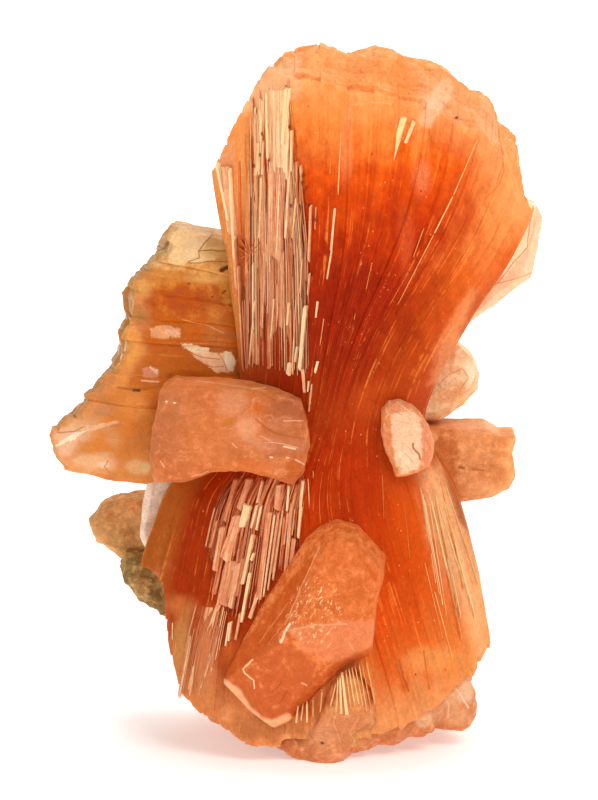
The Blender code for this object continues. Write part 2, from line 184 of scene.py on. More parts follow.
# Stubby crystals at the foot, as (middle x, middle y, half width, half depth, low, high).
FOOT_CRYSTALS = {
    "front": (0.6, -9.6, 2.6, 3.2, -0.4, 4.2),
    "front_low": (-2.0, -9.2, 2.2, 2.6, 0.1, 3.6),
    "front_left": (-5.2, -7.8, 2.2, 2.8, 0.9, 4.8),
    "mid_left": (-7.4, -6.8, 2.2, 2.6, 1.9, 5.2),
    "far_left": (-9.6, -5.4, 2.0, 2.6, 2.7, 6.6),
    "front_right": (3.6, -8.6, 2.2, 3.0, 0.6, 5.4),
    "front_far_right": (6.4, -7.6, 2.4, 3.0, 0.9, 5.8),
    "right": (9.4, -6.2, 2.2, 3.2, 1.5, 6.6),
    "right_lobe": (12.9, -4.4, 2.7, 2.6, 1.4, 7.2),
    "right_block": (10.6, -7.8, 1.0, 1.0, 2.0, 4.2),
    "far_right": (12.0, 1.2, 3.2, 4.0, 1.0, 6.2),
    "left": (-8.2, -0.4, 3.2, 4.0, 0.9, 6.0),
    "under_block": (-4.4, -9.9, 1.6, 1.6, 1.2, 3.4),
    "middle": (1.6, -1.0, 7.4, 5.6, -0.4, 5.0),
    "back_right": (5.6, 6.6, 5.4, 5.4, -0.4, 11.0),
    "back_left": (-4.4, 6.0, 5.2, 5.2, -0.4, 10.0),
}
FOOT_STATIONS = [(0.0, 0.55), (0.12, 0.8), (0.35, 1.0), (0.65, 0.97), (0.88, 0.75), (1.0, 0.45)]
FOOT_CORNER = 0.5
FOOT_FAN = [(-0.6, 3.6), (2.4, 3.2), (5.4, 4.0), (5.2, 7.4), (3.6, 9.8), (2.0, 9.0), (0.2, 6.0)]
FOOT_FAN_DEPTHS = {"front": -12.9, "back": -8.0, "edge_cut": 0.7}


# Curves and small helpers

def mix(start, end, share):
    return start + (end - start) * share


def smooth_curve(table, step=0.2):
    """Samples of a smooth curve through (place, value) points, for np.interp."""
    places = np.array([p for p, _ in table], float)
    values = np.array([v for _, v in table], float)
    secants = np.diff(values) / np.diff(places)
    slopes = np.concatenate([[secants[0]], (secants[:-1] + secants[1:]) / 2, [secants[-1]]])
    count = max(2, int((places[-1] - places[0]) / step))
    fine = np.linspace(places[0], places[-1], count)
    i = np.clip(np.searchsorted(places, fine) - 1, 0, len(places) - 2)
    gap = places[i + 1] - places[i]
    t = (fine - places[i]) / gap
    found = (
        values[i] * (2 * t**3 - 3 * t**2 + 1) + values[i + 1] * (3 * t**2 - 2 * t**3)
        + slopes[i] * gap * (t**3 - 2 * t**2 + t) + slopes[i + 1] * gap * (t**3 - t**2)
    )
    return fine, found


def at(curve, places):
    return np.interp(places, curve[0], curve[1])


def eased(values, low, high):
    share = np.clip((values - low) / (high - low), 0, 1)
    return share * share * (3 - 2 * share)


def lumps(points, sizes, seed):
    """Smooth noise between -1 and 1 at points in millimetres, with bumps of these sizes along x, y and z."""
    start = np.array([seed * 7.31, seed * 3.17, seed * 5.73])
    return np.array([noise.noise(Vector(place)) for place in np.asarray(points) / np.array(sizes) + start])


def select_only(thing):
    bpy.ops.object.select_all(action="DESELECT")
    thing.select_set(True)
    bpy.context.view_layer.objects.active = thing


def apply_modifier(thing, kind, **settings):
    modifier = thing.modifiers.new(kind.title(), kind)
    for key, value in settings.items():
        setattr(modifier, key, value)
    select_only(thing)
    bpy.ops.object.modifier_apply(modifier=modifier.name)


def shade(thing, degrees):
    select_only(thing)
    bpy.ops.object.shade_smooth_by_angle(angle=math.radians(degrees))


def face_outward(thing):
    select_only(thing)
    bpy.ops.object.mode_set(mode="EDIT")
    bpy.ops.mesh.select_all(action="SELECT")
    bpy.ops.mesh.normals_make_consistent(inside=False)
    bpy.ops.object.mode_set(mode="OBJECT")


def join(things, name):
    bpy.ops.object.select_all(action="DESELECT")
    for thing in things:
        thing.select_set(True)
    bpy.context.view_layer.objects.active = things[0]
    bpy.ops.object.join()
    made = bpy.context.view_layer.objects.active
    made.name = name
    made.data.name = name
    return made


def corners(thing):
    places = np.empty(len(thing.data.vertices) * 3, np.float32)
    thing.data.vertices.foreach_get("co", places)
    return places.reshape(-1, 3).astype(float)


def move_corners(thing, places):
    """Puts a mesh's corners at places in millimetres."""
    thing.data.vertices.foreach_set("co", (np.asarray(places) * MM).astype(np.float32).ravel())
    thing.data.update()


def keep(thing, name, *parts):
    """Stores up to three values for each corner, as one vector for the material to read."""
    vectors = np.zeros((len(thing.data.vertices), 3), np.float32)
    for i, part in enumerate(parts):
        vectors[:, i] = part
    layer = thing.data.attributes.new(name, "FLOAT_VECTOR", "POINT")
    layer.data.foreach_set("vector", vectors.ravel())


# Sheaves of blades

# A thin blade's lines, as shares of its width: its groove, and the two edges of its ridge.
RIDGE_LINES = (0.0, 0.2, 0.8)
# How much of a sheaf's depth is its skin, which the ridges move, and how far the back's ridges stand out.
SKIN_SHARE = 0.1
BACK_RELIEF = 0.9
# The relief left at the waist, and how far from there the upper blades and the warp take over.
WAIST_RELIEF = 0.3
WAIST_BLEND = 3
WARP_FADE = (2, 32)
# The sizes of the swells of a sheaf's sides along x, y and z, and the lumps of its ends as (size, share).
SWELLS = {"broad": (6, 6, 22), "fine": (2, 4, 9), "side": (3, 3, 5)}
CAP_LUMPS = [(2.8, 1.0), (1.2, 0.4), (0.6, 0.12)]
# Between which shares of the depth an end slopes from its front's height to the height behind.
CAP_SLOPE = (0.05, 0.5)


class Sheaf:
    """The space of a sheaf. A place in it is (across, deep, along): shares from edge to edge and from front
    to back, and millimetres along the blades."""

    def __init__(self, edges, depths, girth, to_world):
        self.start, self.end = (smooth_curve(edge) for edge in edges)
        self.front, self.back = (smooth_curve(depth) for depth in depths)
        self.girth = smooth_curve(girth, 0.01)
        self.to_world = to_world

    def place(self, across, deep, along, forward=0.0, outward=0.0):
        """Points in millimetres, moved towards the front by forward and across the sheaf by outward."""
        side = mix(at(self.start, along), at(self.end, along), across) + outward
        front, back = at(self.front, along), at(self.back, along)
        thickness = (back - front) * at(self.girth, np.clip(across, 0, 1))
        return self.to_world(side, (front + back) / 2 + (deep - 0.5) * thickness - forward, along)

    def share_across(self, side, along):
        start, end = at(self.start, along), at(self.end, along)
        return (side - start) / (end - start)


def upright(side, y, along):
    return np.stack(np.broadcast_arrays(side, y, along), axis=-1)


def lying(side, y, along):
    return np.stack(np.broadcast_arrays(-along, y, side), axis=-1)


def cut_lines(cuts, widths, span, chance):
    """Blades split into thinner ones of random widths, as (start, end) shares."""
    thin = []
    for low, high in zip(cuts, cuts[1:]):
        parts = [chance.uniform(*widths) / span]
        while sum(parts) < high - low:
            parts.append(chance.uniform(*widths) / span)
        edges = low + (high - low) * np.cumsum([0] + parts) / sum(parts)
        thin += list(zip(edges, edges[1:]))
    return thin


def blade_of(table, share):
    found = [blade for blade in table if blade[0] <= share + 1e-6]
    return found[-1]


def cut_block(name, across, deep, stations):
    """A block with its cuts one unit apart: a grid that is extruded level by level."""
    bpy.ops.mesh.primitive_grid_add(x_subdivisions=across - 1, y_subdivisions=deep - 1, size=1)
    block = bpy.context.object
    block.name = name
    block.data.name = name
    bpy.ops.object.mode_set(mode="EDIT")
    bpy.ops.mesh.select_mode(type="FACE")
    bpy.ops.mesh.select_all(action="SELECT")
    for _ in range(stations - 1):
        bpy.ops.mesh.extrude_region_move(TRANSFORM_OT_translate={"value": (0, 0, 1)})
    bpy.ops.object.mode_set(mode="OBJECT")
    place = corners(block)
    a = np.rint((place[:, 0] + 0.5) * (across - 1)).astype(int)
    d = np.rint((place[:, 1] + 0.5) * (deep - 1)).astype(int)
    k = np.rint(place[:, 2]).astype(int)
    return block, a, d, k


def blade_block(name, sheaf, low_end, high_end, layers, sizes, seed, warp=None, floor=None):
    """A sheaf as one closed skin. Its sides are lightly ridged, one ridge to a thin blade, and its broad
    blades step forward and back. Each end is (broad blades, front heights, heights behind, dome), and the
    low one may be a plain height."""
    chance = random.Random(seed)
    low_blades = high_end[0] if isinstance(low_end, float) else low_end[0]
    high_blades = high_end[0]
    cuts = sorted({blade[0] for table in (low_blades, high_blades) for blade in table} | {1.0})
    columns = cut_lines(cuts, sizes["blade"], sizes["span"], chance)
    rows = cut_lines(layers, (0.8 * sizes["layer"], 1.2 * sizes["layer"]), sizes["depth"], chance)
    across = np.array([mix(start, end, s) for start, end in columns for s in RIDGE_LINES] + [1.0])
    deep = np.array([mix(start, end, s) for start, end in rows for s in RIDGE_LINES] + [1.0])
    count_a, count_d, count_k = len(across), len(deep), sizes["stations"]

    def cap_heights(end, outward):
        """Heights of one end at every (across, deep) point."""
        if isinstance(end, float):
            return np.full((count_a, count_d), end)
        blades, front_table, behind_table, dome = end
        front, behind = np.array(front_table).T, np.array(behind_table).T
        known = np.full((count_a, count_d), np.nan)
        steps = {}
        for i, (a0, a1) in enumerate(columns):
            start, _, blade_step = blade_of(blades, (a0 + a1) / 2)
            own = chance.uniform(-1, 1) * sizes["fine_step"]
            for j, (d0, d1) in enumerate(rows):
                layer = sum((d0 + d1) / 2 > cut for cut in layers)
                if (start, layer) not in steps:
                    steps[start, layer] = chance.uniform(-1, 1) * sizes["step"] if layer > 1 else blade_step
                lift = steps[start, layer] + own * (layer == 1)
                ledge = outward * sizes["ledge"] * (layer > 1)
                for m, n in ((1, 1), (1, 2), (2, 1), (2, 2)):
                    a, d = across[3 * i + m], deep[3 * j + n]
                    back = at(behind, a) - outward * dome * max(0.0, 2 * d - 1) ** 2
                    base = mix(at(front, a) + ledge, back, eased(d, *CAP_SLOPE))
                    known[3 * i + m, 3 * j + n] = (base + outward * lift) * outward
        for axis in (0, 1):
            reach = ((1, 1), (0, 0)) if axis == 0 else ((0, 0), (1, 1))
            padded = np.pad(known, reach, constant_values=np.nan)
            before = padded[:-2] if axis == 0 else padded[:, :-2]
            after = padded[2:] if axis == 0 else padded[:, 2:]
            known = np.where(np.isnan(known), np.fmin(before, after), known)
        spots = upright(across[:, None] * sizes["span"], deep[None, :] * sizes["depth"], 0.0).reshape(-1, 3)
        rough = sum(lumps(spots, (size, size, 1), seed + n) * sizes["lump"] * share
                    for n, (size, share) in enumerate(CAP_LUMPS))
        return known * outward + rough.reshape(count_a, count_d)

    high = cap_heights(high_end, 1)
    low = cap_heights(low_end, -1)
    if floor is not None:
        low = np.maximum(low, floor)

    def relief(blades, scale):
        """How far each line across stands forward. The line between two thin blades lies a little deeper."""
        out = np.zeros(count_a)
        for i, (a0, a1) in enumerate(columns):
            lift = blade_of(blades, (a0 + a1) / 2)[1] * scale + chance.uniform(-1, 1) * sizes["fine_relief"]
            tilt = chance.uniform(-1, 1) * sizes["fine_relief"] * 0.8
            out[3 * i + 1], out[3 * i + 2] = lift - tilt, lift + tilt
        for i in range(0, count_a, 3):
            out[i] = min(out[n] for n in (i - 1, i + 1) if 0 <= n < count_a) - sizes["groove"]
        return out

    low_front, low_back = relief(low_blades, 1.0), relief(low_blades, BACK_RELIEF)
    high_front, high_back = relief(high_blades, 1.0), relief(high_blades, BACK_RELIEF)
    side_depth = np.array([chance.uniform(-1, 1) * sizes["fine_relief"] * 2 for _ in range(count_d)])

    block, a, d, k = cut_block(name, count_a, count_d, count_k)
    along = mix(low[a, d], high[a, d], k / (count_k - 1))
    from_waist = np.abs(along - sizes["waist"])
    upper = eased(along, sizes["waist"] - WAIST_BLEND, sizes["waist"] + WAIST_BLEND)
    rise = mix(WAIST_RELIEF, 1.0, eased(from_waist, 0, sizes["fade"]))
    share = across[a]
    if warp:
        share = mix(share, np.interp(share, *warp), 1 - eased(from_waist, *WARP_FADE))
    share_d = deep[d]
    near_front = np.clip(1 - share_d / SKIN_SHARE, 0, 1)
    near_back = np.clip(1 - (1 - share_d) / SKIN_SHARE, 0, 1)
    front_relief = mix(low_front[a], high_front[a], upper)
    back_relief = mix(low_back[a], high_back[a], upper)
    spots = sheaf.place(share, share_d, along)
    swell = lumps(spots, SWELLS["broad"], seed + 2) * sizes["swell"]
    swell += lumps(spots, SWELLS["fine"], seed + 3) * sizes["swell"] * 0.3
    forward = rise * (near_front * front_relief - near_back * back_relief) + swell * (near_front - near_back)
    at_side = np.where(a == 0, -1.0, np.where(a == count_a - 1, 1.0, 0.0))
    ragged = lumps(spots, SWELLS["side"], seed + 4) * sizes["swell"]
    points = sheaf.place(share, share_d, along, forward, at_side * (side_depth[d] * rise + ragged))
    if floor is not None:
        points[:, 2] = np.maximum(points[:, 2], floor)
    move_corners(block, points)

    tones = np.array([chance.random() for _ in columns] + [0.5])
    to_tip = np.abs(high[a, d] - along)
    if floor is not None:
        to_tip = np.minimum(to_tip, np.abs(along - low[a, d]))
    keep(block, "fan", across[a], share_d, along)
    keep(block, "tone", to_tip, tones[a // 3])
    face_outward(block)
    return block


# Splinters: thin blades that lie on a sheaf's cleaved side

# Where the bar is cut, how wide it may be at each cut, and how its front and ends are narrowed. Then how many
# points a path has, and how many heights a strip tries for the ends of its region.
BAR_CUTS = (0.04, 0.3, 0.5, 0.7, 0.96)
BAR_WIDTHS = (0.86, 1.08)
BAR_FRONT = 0.7
BAR_ENDS = (0.8, 0.6, 1)
PATH_POINTS = 7
REGION_LEVELS = 60


def splinter_bar():
    """One splinter: a bar one unit each way along +Z, cut into lengths, with a narrow front and thin ends."""
    bpy.ops.mesh.primitive_cube_add(size=1, location=(0, 0.5, 0.5))
    bar = bpy.context.object
    bar.name = "splinter"
    bpy.ops.object.transform_apply(location=True, rotation=False, scale=False)
    bpy.ops.object.mode_set(mode="EDIT")
    for height in BAR_CUTS:
        bpy.ops.mesh.select_all(action="SELECT")
        bpy.ops.mesh.bisect(plane_co=(0, 0, height), plane_no=(0, 0, 1))
    bpy.ops.object.mode_set(mode="OBJECT")
    place = corners(bar)
    place[place[:, 1] > 0.5, 0] *= BAR_FRONT
    ends = (place[:, 2] < 0.001) | (place[:, 2] > 0.999)
    place[ends] *= BAR_ENDS
    bar.data.vertices.foreach_set("co", place.astype(np.float32).ravel())
    face_outward(bar)
    return bar


class Splinters:
    """Copies of one bar, each with its own mesh, bent along its own path and joined at the end."""

    def __init__(self, seed):
        self.bar = splinter_bar()
        self.shape = corners(self.bar)
        self.chance = random.Random(seed)
        self.copies = []

    def add(self, path, width, lift, tone, slant=0.0, taper=(1.0, 1.0), depth=0.5, normal=(0, -1, 0),
            warm=0.0):
        """Lays one splinter along a path of points, foot first. Its front stands lift above the path."""
        sideways, outwards, upwards = self.shape.T
        path = np.asarray(path, float)
        shares = np.linspace(0, 1, len(path))
        length = np.linalg.norm(path[-1] - path[0])
        lean = slant * sideways * width * np.where(upwards > 0.5, 1, -1) / length
        up_along = np.clip(upwards + lean * (np.abs(upwards - 0.5) > 0.4), -0.02, 1.02)
        spine = np.stack([np.interp(up_along, shares, path[:, i]) for i in range(3)], axis=-1)
        front = np.asarray(normal, float)
        side = np.cross(front, path[-1] - path[0])
        side /= np.linalg.norm(side)
        ragged = [self.chance.uniform(*BAR_WIDTHS) for _ in BAR_CUTS]
        wide = sideways * width * mix(taper[0], taper[1], upwards) * np.interp(upwards, BAR_CUTS, ragged)
        raised = lift - depth * (1 - outwards)
        copy = bpy.data.objects.new("splinter", self.bar.data.copy())
        bpy.context.scene.collection.objects.link(copy)
        move_corners(copy, spine + side * wide[:, None] + front * raised[:, None])
        start = self.chance.random() * 7
        half = np.abs(wide) / np.maximum(np.abs(sideways) * 2, 0.01)
        keep(copy, "fan", start * 3 + wide, wide, start * 9 + upwards * length)
        keep(copy, "tone", half, tone, warm)
        self.copies.append(copy)

    def finish(self, name):
        bpy.data.objects.remove(self.bar)
        made = join(self.copies, name)
        shade(made, 30)
        return made


def strip(splinters, sheaf, region, line, heights, count, widths, lengths, tones, lifts, warms):
    """Fills a region of a sheaf's front, bounded by its left and right edge, with splinters that follow
    the lines of line(share, height)."""
    chance = splinters.chance
    left, right = (smooth_curve(edge) for edge in region)
    levels = np.linspace(*heights, REGION_LEVELS)
    for n in range(count):
        share = (n + chance.uniform(-1.5, 1.5)) / count
        side = line(share, levels)
        inside = levels[(side >= at(left, levels)) & (side <= at(right, levels))]
        if len(inside) < 3:
            continue
        low, high = inside[0] + chance.uniform(-0.4, 0.4), inside[-1] + chance.uniform(-0.3, 0.3)
        length = min(chance.uniform(*lengths), high - low)
        foot = np.clip(chance.uniform(low - 0.4 * length, high - 0.6 * length), low, high - length)
        along = np.linspace(foot, foot + length, PATH_POINTS)
        path = sheaf.place(sheaf.share_across(line(share, along), along), 0.0, along)
        tone = at(tones, foot + length / 2) + chance.uniform(-0.3, 0.3)
        width = mix(*widths, chance.random() ** 2)
        lift, slant = chance.uniform(*lifts), chance.uniform(-0.8, 0.8)
        taper = chance.uniform(0.75, 1), chance.uniform(0.75, 1)
        splinters.add(path, width, lift, np.clip(tone, 0, 1), slant, taper, warm=chance.uniform(*warms))


# Crystals with rough or frosted faces

def ring_solid(name, rings):
    """A solid from a filled circle of as many corners as the outline has, which is shaped to the first
    ring and extruded to each of the others."""
    bpy.ops.mesh.primitive_circle_add(vertices=len(rings[0]), radius=MM, fill_type="NGON")
    solid = bpy.context.object
    solid.name = name
    solid.data.name = name
    for vert, corner in zip(solid.data.vertices, rings[0]):
        vert.co = Vector(corner) * MM
    for last, ring in zip(rings, rings[1:]):
        bpy.ops.object.mode_set(mode="EDIT")
        bpy.ops.mesh.select_mode(type="FACE")
        bpy.ops.mesh.extrude_region_move()
        bpy.ops.object.mode_set(mode="OBJECT")
        for vert in solid.data.vertices:
            if vert.select:
                away = [(Vector(corner) * MM - vert.co).length for corner in last]
                vert.co = Vector(ring[away.index(min(away))]) * MM
    face_outward(solid)
    return solid


def slab_rings(outline, front, back, edge_cut):
    """A slab with cut edges, as rings from its front to its back."""
    count = len(outline)
    middle = Vector((sum(p[0] for p in outline) / count, sum(p[1] for p in outline) / count))
    inner = []
    for corner in outline:
        inward = middle - Vector(corner)
        inner.append(Vector(corner) + inward.normalized() * min(edge_cut, inward.length / 2))
    levels = [(inner, front), (outline, front + edge_cut), (outline, back - edge_cut), (inner, back)]
    return [[(x, y, z) for x, z in points] for points, y in levels]


def pillow_rings(outline, front, back, bulge):
    """A slab whose front bulges: rings that shrink towards the middle of its face."""
    middle = [sum(p[i] for p in outline) / len(outline) for i in (0, 1)]
    levels = [(0.45, front), (0.72, front + bulge * 0.25), (0.92, front + bulge * 0.7),
              (1.0, front + bulge * 1.35), (1.0, back - 1.2), (0.86, back)]
    return [[(mix(middle[0], x, size), y, mix(middle[1], z, size)) for x, z in outline] for size, y in levels]


def roughen(solid, voxel, *wear):
    """Remeshes a solid evenly, then wears its faces with each roughness, given as (kind, size, depth)."""
    apply_modifier(solid, "REMESH", mode="VOXEL", voxel_size=voxel * MM, use_smooth_shade=True)
    for kind, size, depth in wear:
        texture = bpy.data.textures.new(f"{solid.name} {kind.lower()}", kind)
        texture.noise_scale = size * MM
        if kind == "CLOUDS":
            texture.noise_depth = 2
        apply_modifier(solid, "DISPLACE", texture=texture, strength=depth * MM, mid_level=0.5,
                       texture_coords="LOCAL")


def knob_rings(x, y, half_width, half_depth, low, high):
    """A stubby crystal with cut corners, as rings from its foot to its top."""
    cut = FOOT_CORNER
    around = [(-1, -cut), (-cut, -1), (cut, -1), (1, -cut), (1, cut), (cut, 1), (-cut, 1), (-1, cut)]
    return [[(x + half_width * size * a, y + half_depth * size * d, mix(low, high, level)) for a, d in around]
            for level, size in FOOT_STATIONS]


def cut_flat(solid):
    """Cuts a solid off level with the ground."""
    select_only(solid)
    bpy.ops.object.mode_set(mode="EDIT")
    bpy.ops.mesh.select_all(action="SELECT")
    bpy.ops.mesh.bisect(plane_co=(0, 0, 0), plane_no=(0, 0, 1), clear_inner=True, use_fill=True,
                        threshold=1e-7)
    bpy.ops.object.mode_set(mode="OBJECT")


# Materials

# Where a patch, a spot and a line start to fade and where they end, as shares of their half size or width.
SOFT_EDGE = (0.35, 1.0)
SPOT_EDGE = (0.35, 1.15)
STROKE_EDGE = (0.25, 0.75)
STILBITE_IOR = 1.5
SCATTER_COLOUR = (1.0, 0.4, 0.2)


class Value:
    """A socket in a material. Arithmetic on it adds Math nodes."""

    def __init__(self, paint, socket):
        self.paint = paint
        self.socket = socket

    def maths(self, operation, first, second):
        return self.paint.node("ShaderNodeMath", {"operation": operation}, {0: first, 1: second})

    def __add__(self, other):
        return self.maths("ADD", self, other)

    def __radd__(self, other):
        return self.maths("ADD", other, self)

    def __sub__(self, other):
        return self.maths("SUBTRACT", self, other)

    def __rsub__(self, other):
        return self.maths("SUBTRACT", other, self)

    def __mul__(self, other):
        return self.maths("MULTIPLY", self, other)

    def __rmul__(self, other):
        return self.maths("MULTIPLY", other, self)

    def __truediv__(self, other):
        return self.maths("DIVIDE", self, other)

    def __pow__(self, other):
        return self.maths("POWER", self, other)

    def least(self, other):
        return self.maths("MINIMUM", self, other)

    def rise(self, low, high):
        """The value's share of the way from low to high, eased and kept between 0 and 1."""
        return self.paint.node(
            "ShaderNodeMapRange",
            {"interpolation_type": "SMOOTHSTEP", "clamp": True},
            {"Value": self, "From Min": low, "From Max": high},
        )

    def fall(self, low, high):
        """The other way: 1 up to low and 0 from high on."""
        return 1 - self.rise(low, high)

    def swing(self, reach):
        """A noise between 0 and 1 that is moved to lie about 0, and stretched to its whole reach."""
        return (self - 0.5) * reach


def on_picture(column, row):
    """Millimetres across and up in the picture plane, for one of the photograph's pixels."""
    return (column - MIDDLE_COLUMN) * COLUMN_MM, (GROUND_ROW - row) * ROW_MM


def nearness(y, z):
    """How many times larger than at the camera's target a place is seen, by its depth and height."""
    rise = math.sin(CAMERA_RISE) / CAMERA_DISTANCE
    return 1 - y * (math.cos(CAMERA_RISE) / CAMERA_DISTANCE) + (z - CAMERA_TARGET[2]) * rise


def how_far(across, height, middle, reach):
    """How far Values for a place are from a middle, as a share of the reach across and up."""
    return (((across - middle[0]) / reach[0]) ** 2 + ((height - middle[1]) / reach[1]) ** 2) ** 0.5


def soft_patch(across, height, middle, reach):
    """A soft round patch, 1 in its middle and 0 outside."""
    return how_far(across, height, middle, reach).fall(*SOFT_EDGE)


class Paint:
    """A material and the nodes in it."""

    def __init__(self, name):
        self.material = bpy.data.materials.new(name)
        self.material.use_nodes = True
        self.tree = self.material.node_tree
        self.tree.nodes.clear()

    def node(self, kind, settings=None, values=None, output=0):
        made = self.tree.nodes.new(kind)
        for key, setting in (settings or {}).items():
            if key == "stops":
                stops = made.color_ramp.elements
                while len(stops) < len(setting):
                    stops.new(1.0)
                for stop, (place, colour) in zip(stops, setting):
                    stop.position = place
                    stop.color = (*colour, 1.0)
            else:
                setattr(made, key, setting)
        for key, value in (values or {}).items():
            if isinstance(value, Value):
                self.tree.links.new(value.socket, made.inputs[key])
            else:
                made.inputs[key].default_value = value
        return Value(self, made.outputs[output])

    def vector(self, operation, first, second, output=0):
        """Vector maths. A dot product or a distance is output 1."""
        return self.node("ShaderNodeVectorMath", {"operation": operation}, {0: first, 1: second}, output)

    def scaled(self, vector, sizes):
        return self.vector("MULTIPLY", vector, sizes)

    def times(self, vector, factor):
        """A vector or colour times one number or Value."""
        return self.node("ShaderNodeVectorMath", {"operation": "SCALE"}, {0: vector, "Scale": factor})

    def parts(self, vector):
        return [self.node("ShaderNodeSeparateXYZ", None, {0: vector}, output=i) for i in range(3)]

    def attribute(self, name):
        return self.node("ShaderNodeAttribute", {"attribute_name": name}, None, output=1)

    def object_place(self):
        """The place on the piece, in millimetres."""
        return self.scaled(self.node("ShaderNodeTexCoord", None, None, output=3), (1000, 1000, 1000))

    def noise(self, vector, scale, detail=3.0, roughness=0.55):
        """Noise between 0 and 1. A larger scale makes it finer, and may be given for each axis."""
        if isinstance(scale, tuple):
            vector, scale = self.scaled(vector, scale), 1.0
        return self.node("ShaderNodeTexNoise", None,
                         {"Vector": vector, "Scale": scale, "Detail": detail, "Roughness": roughness})

    def drift(self, vector, reach):
        """The vector, moved about by noise."""
        away = self.node("ShaderNodeTexNoise", None, {"Vector": vector, "Scale": 0.5, "Detail": 2.0}, 1)
        return self.node("ShaderNodeVectorMath", {"operation": "MULTIPLY_ADD"},
                         {0: away, 1: (reach * 4, reach * 4, reach * 4), 2: vector})

    def cells(self, vector, scale=1.0):
        """How far a place is from the nearest of many scattered points."""
        return self.node("ShaderNodeTexVoronoi", None, {"Vector": vector, "Scale": scale})

    def seen(self, place):
        """The place as the photograph shows it, which looks down by ten degrees: (x, half of y, height in the
        picture), in millimetres."""
        x, y, z = self.parts(place)
        near = nearness(y, z)
        left, _, level = CAMERA_TARGET
        across = (x - left) * near + left
        up = (z + y * DEPTH_AS_HEIGHT - level) * near + level
        return self.node("ShaderNodeCombineXYZ", None, {0: across, 1: y * 0.5, 2: up})

    def blend(self, share, first, second):
        """Two colours blended. A colour is three numbers or a Value."""
        colours = [c if isinstance(c, Value) else (*c, 1.0) for c in (first, second)]
        return self.node("ShaderNodeMix", {"data_type": "RGBA", "clamp_factor": True},
                         {0: share, 6: colours[0], 7: colours[1]}, output=2)

    def coats(self, colour, *coats):
        """Lays coats over a colour in turn, each a (share, colour)."""
        for share, coat in coats:
            colour = self.blend(share, colour, coat)
        return colour

    def colour_by(self, value, low, high, stops):
        """A colour ramp whose stops are given at values between low and high."""
        shares = [((place - low) / (high - low), colour) for place, colour in stops]
        return self.node("ShaderNodeValToRGB", {"stops": shares}, {0: (value - low) / (high - low)})

    def spots(self, colour, seen, wander, table):
        """Colours a few patches, whose outlines wander. Each is its column, row and half sizes in the
        photograph's pixels, a colour and a strength."""
        x, _, up = self.parts(seen)
        for column, row, wide, high, tint, strength in table:
            far = how_far(x, up, on_picture(column, row), (wide * COLUMN_MM, high * COLUMN_MM))
            colour = self.blend((far + wander).fall(*SPOT_EDGE) * strength, colour, tint)
        return colour

    def facets(self, colour, seen, wander, table):
        """Colours a few facets with straight sides. Each is its corners in the photograph's pixels, a
        colour, a strength, and how soft its edge is in millimetres."""
        for outline, tint, strength, soft in table:
            ends = [on_picture(*corner) for corner in outline]
            middle = [sum(end[i] for end in ends) / len(ends) for i in (0, 1)]
            nearest = None
            for (x0, z0), (x1, z1) in zip(ends, ends[1:] + ends[:1]):
                size = math.hypot(x1 - x0, z1 - z0)
                across, up = (z1 - z0) / size, (x0 - x1) / size
                if across * (middle[0] - x0) + up * (middle[1] - z0) < 0:
                    across, up = -across, -up
                away = self.vector("DOT_PRODUCT", seen, (across, 0, up), output=1) - (across * x0 + up * z0)
                nearest = away if nearest is None else nearest.least(away)
            colour = self.blend((nearest + wander).rise(-soft, soft) * strength, colour, tint)
        return colour

    def strokes(self, colour, seen, table):
        """Draws a few thin lines. Each is its corners and its width in the photograph's pixels, a colour and
        a strength."""
        flat = self.scaled(seen, (1, 0, 1))
        for line, width, tint, strength in table:
            ends = [on_picture(*corner) for corner in line]
            nearest = None
            for (x0, z0), (x1, z1) in zip(ends, ends[1:]):
                run = (x1 - x0, 0.0, z1 - z0)
                offset = self.vector("SUBTRACT", flat, (x0, 0.0, z0))
                dot = self.vector("DOT_PRODUCT", offset, run, output=1)
                share = self.node("ShaderNodeMath", {"operation": "DIVIDE", "use_clamp": True},
                                  {0: dot, 1: run[0] ** 2 + run[2] ** 2})
                far = self.vector("DISTANCE", offset, self.times(run, share), output=1)
                nearest = far if nearest is None else nearest.least(far)
            inner, outer = (width * COLUMN_MM * share for share in STROKE_EDGE)
            colour = self.blend(nearest.fall(inner, outer) * strength, colour, tint)
        return colour

    def bump(self, height, strength, distance):
        return self.node("ShaderNodeBump", None,
                         {"Height": height, "Strength": strength, "Distance": distance * MM})

    def crystal(self, colour, roughness, normal, scatter, weight, gloss):
        """A translucent mineral finish on the material's output. Its scatter is in millimetres."""
        return self.finish({
            "Base Color": colour, "Roughness": roughness, "Normal": normal, "IOR": STILBITE_IOR,
            "Specular IOR Level": gloss, "Subsurface Weight": weight, "Subsurface Radius": SCATTER_COLOUR,
            "Subsurface Scale": scatter * MM,
        })

    def finish(self, values):
        """Puts a shader with these values on the material's output."""
        shader = self.node("ShaderNodeBsdfPrincipled", None, values)
        end = self.tree.nodes.new("ShaderNodeOutputMaterial")
        self.tree.links.new(shader.socket, end.inputs["Surface"])
        return self.material


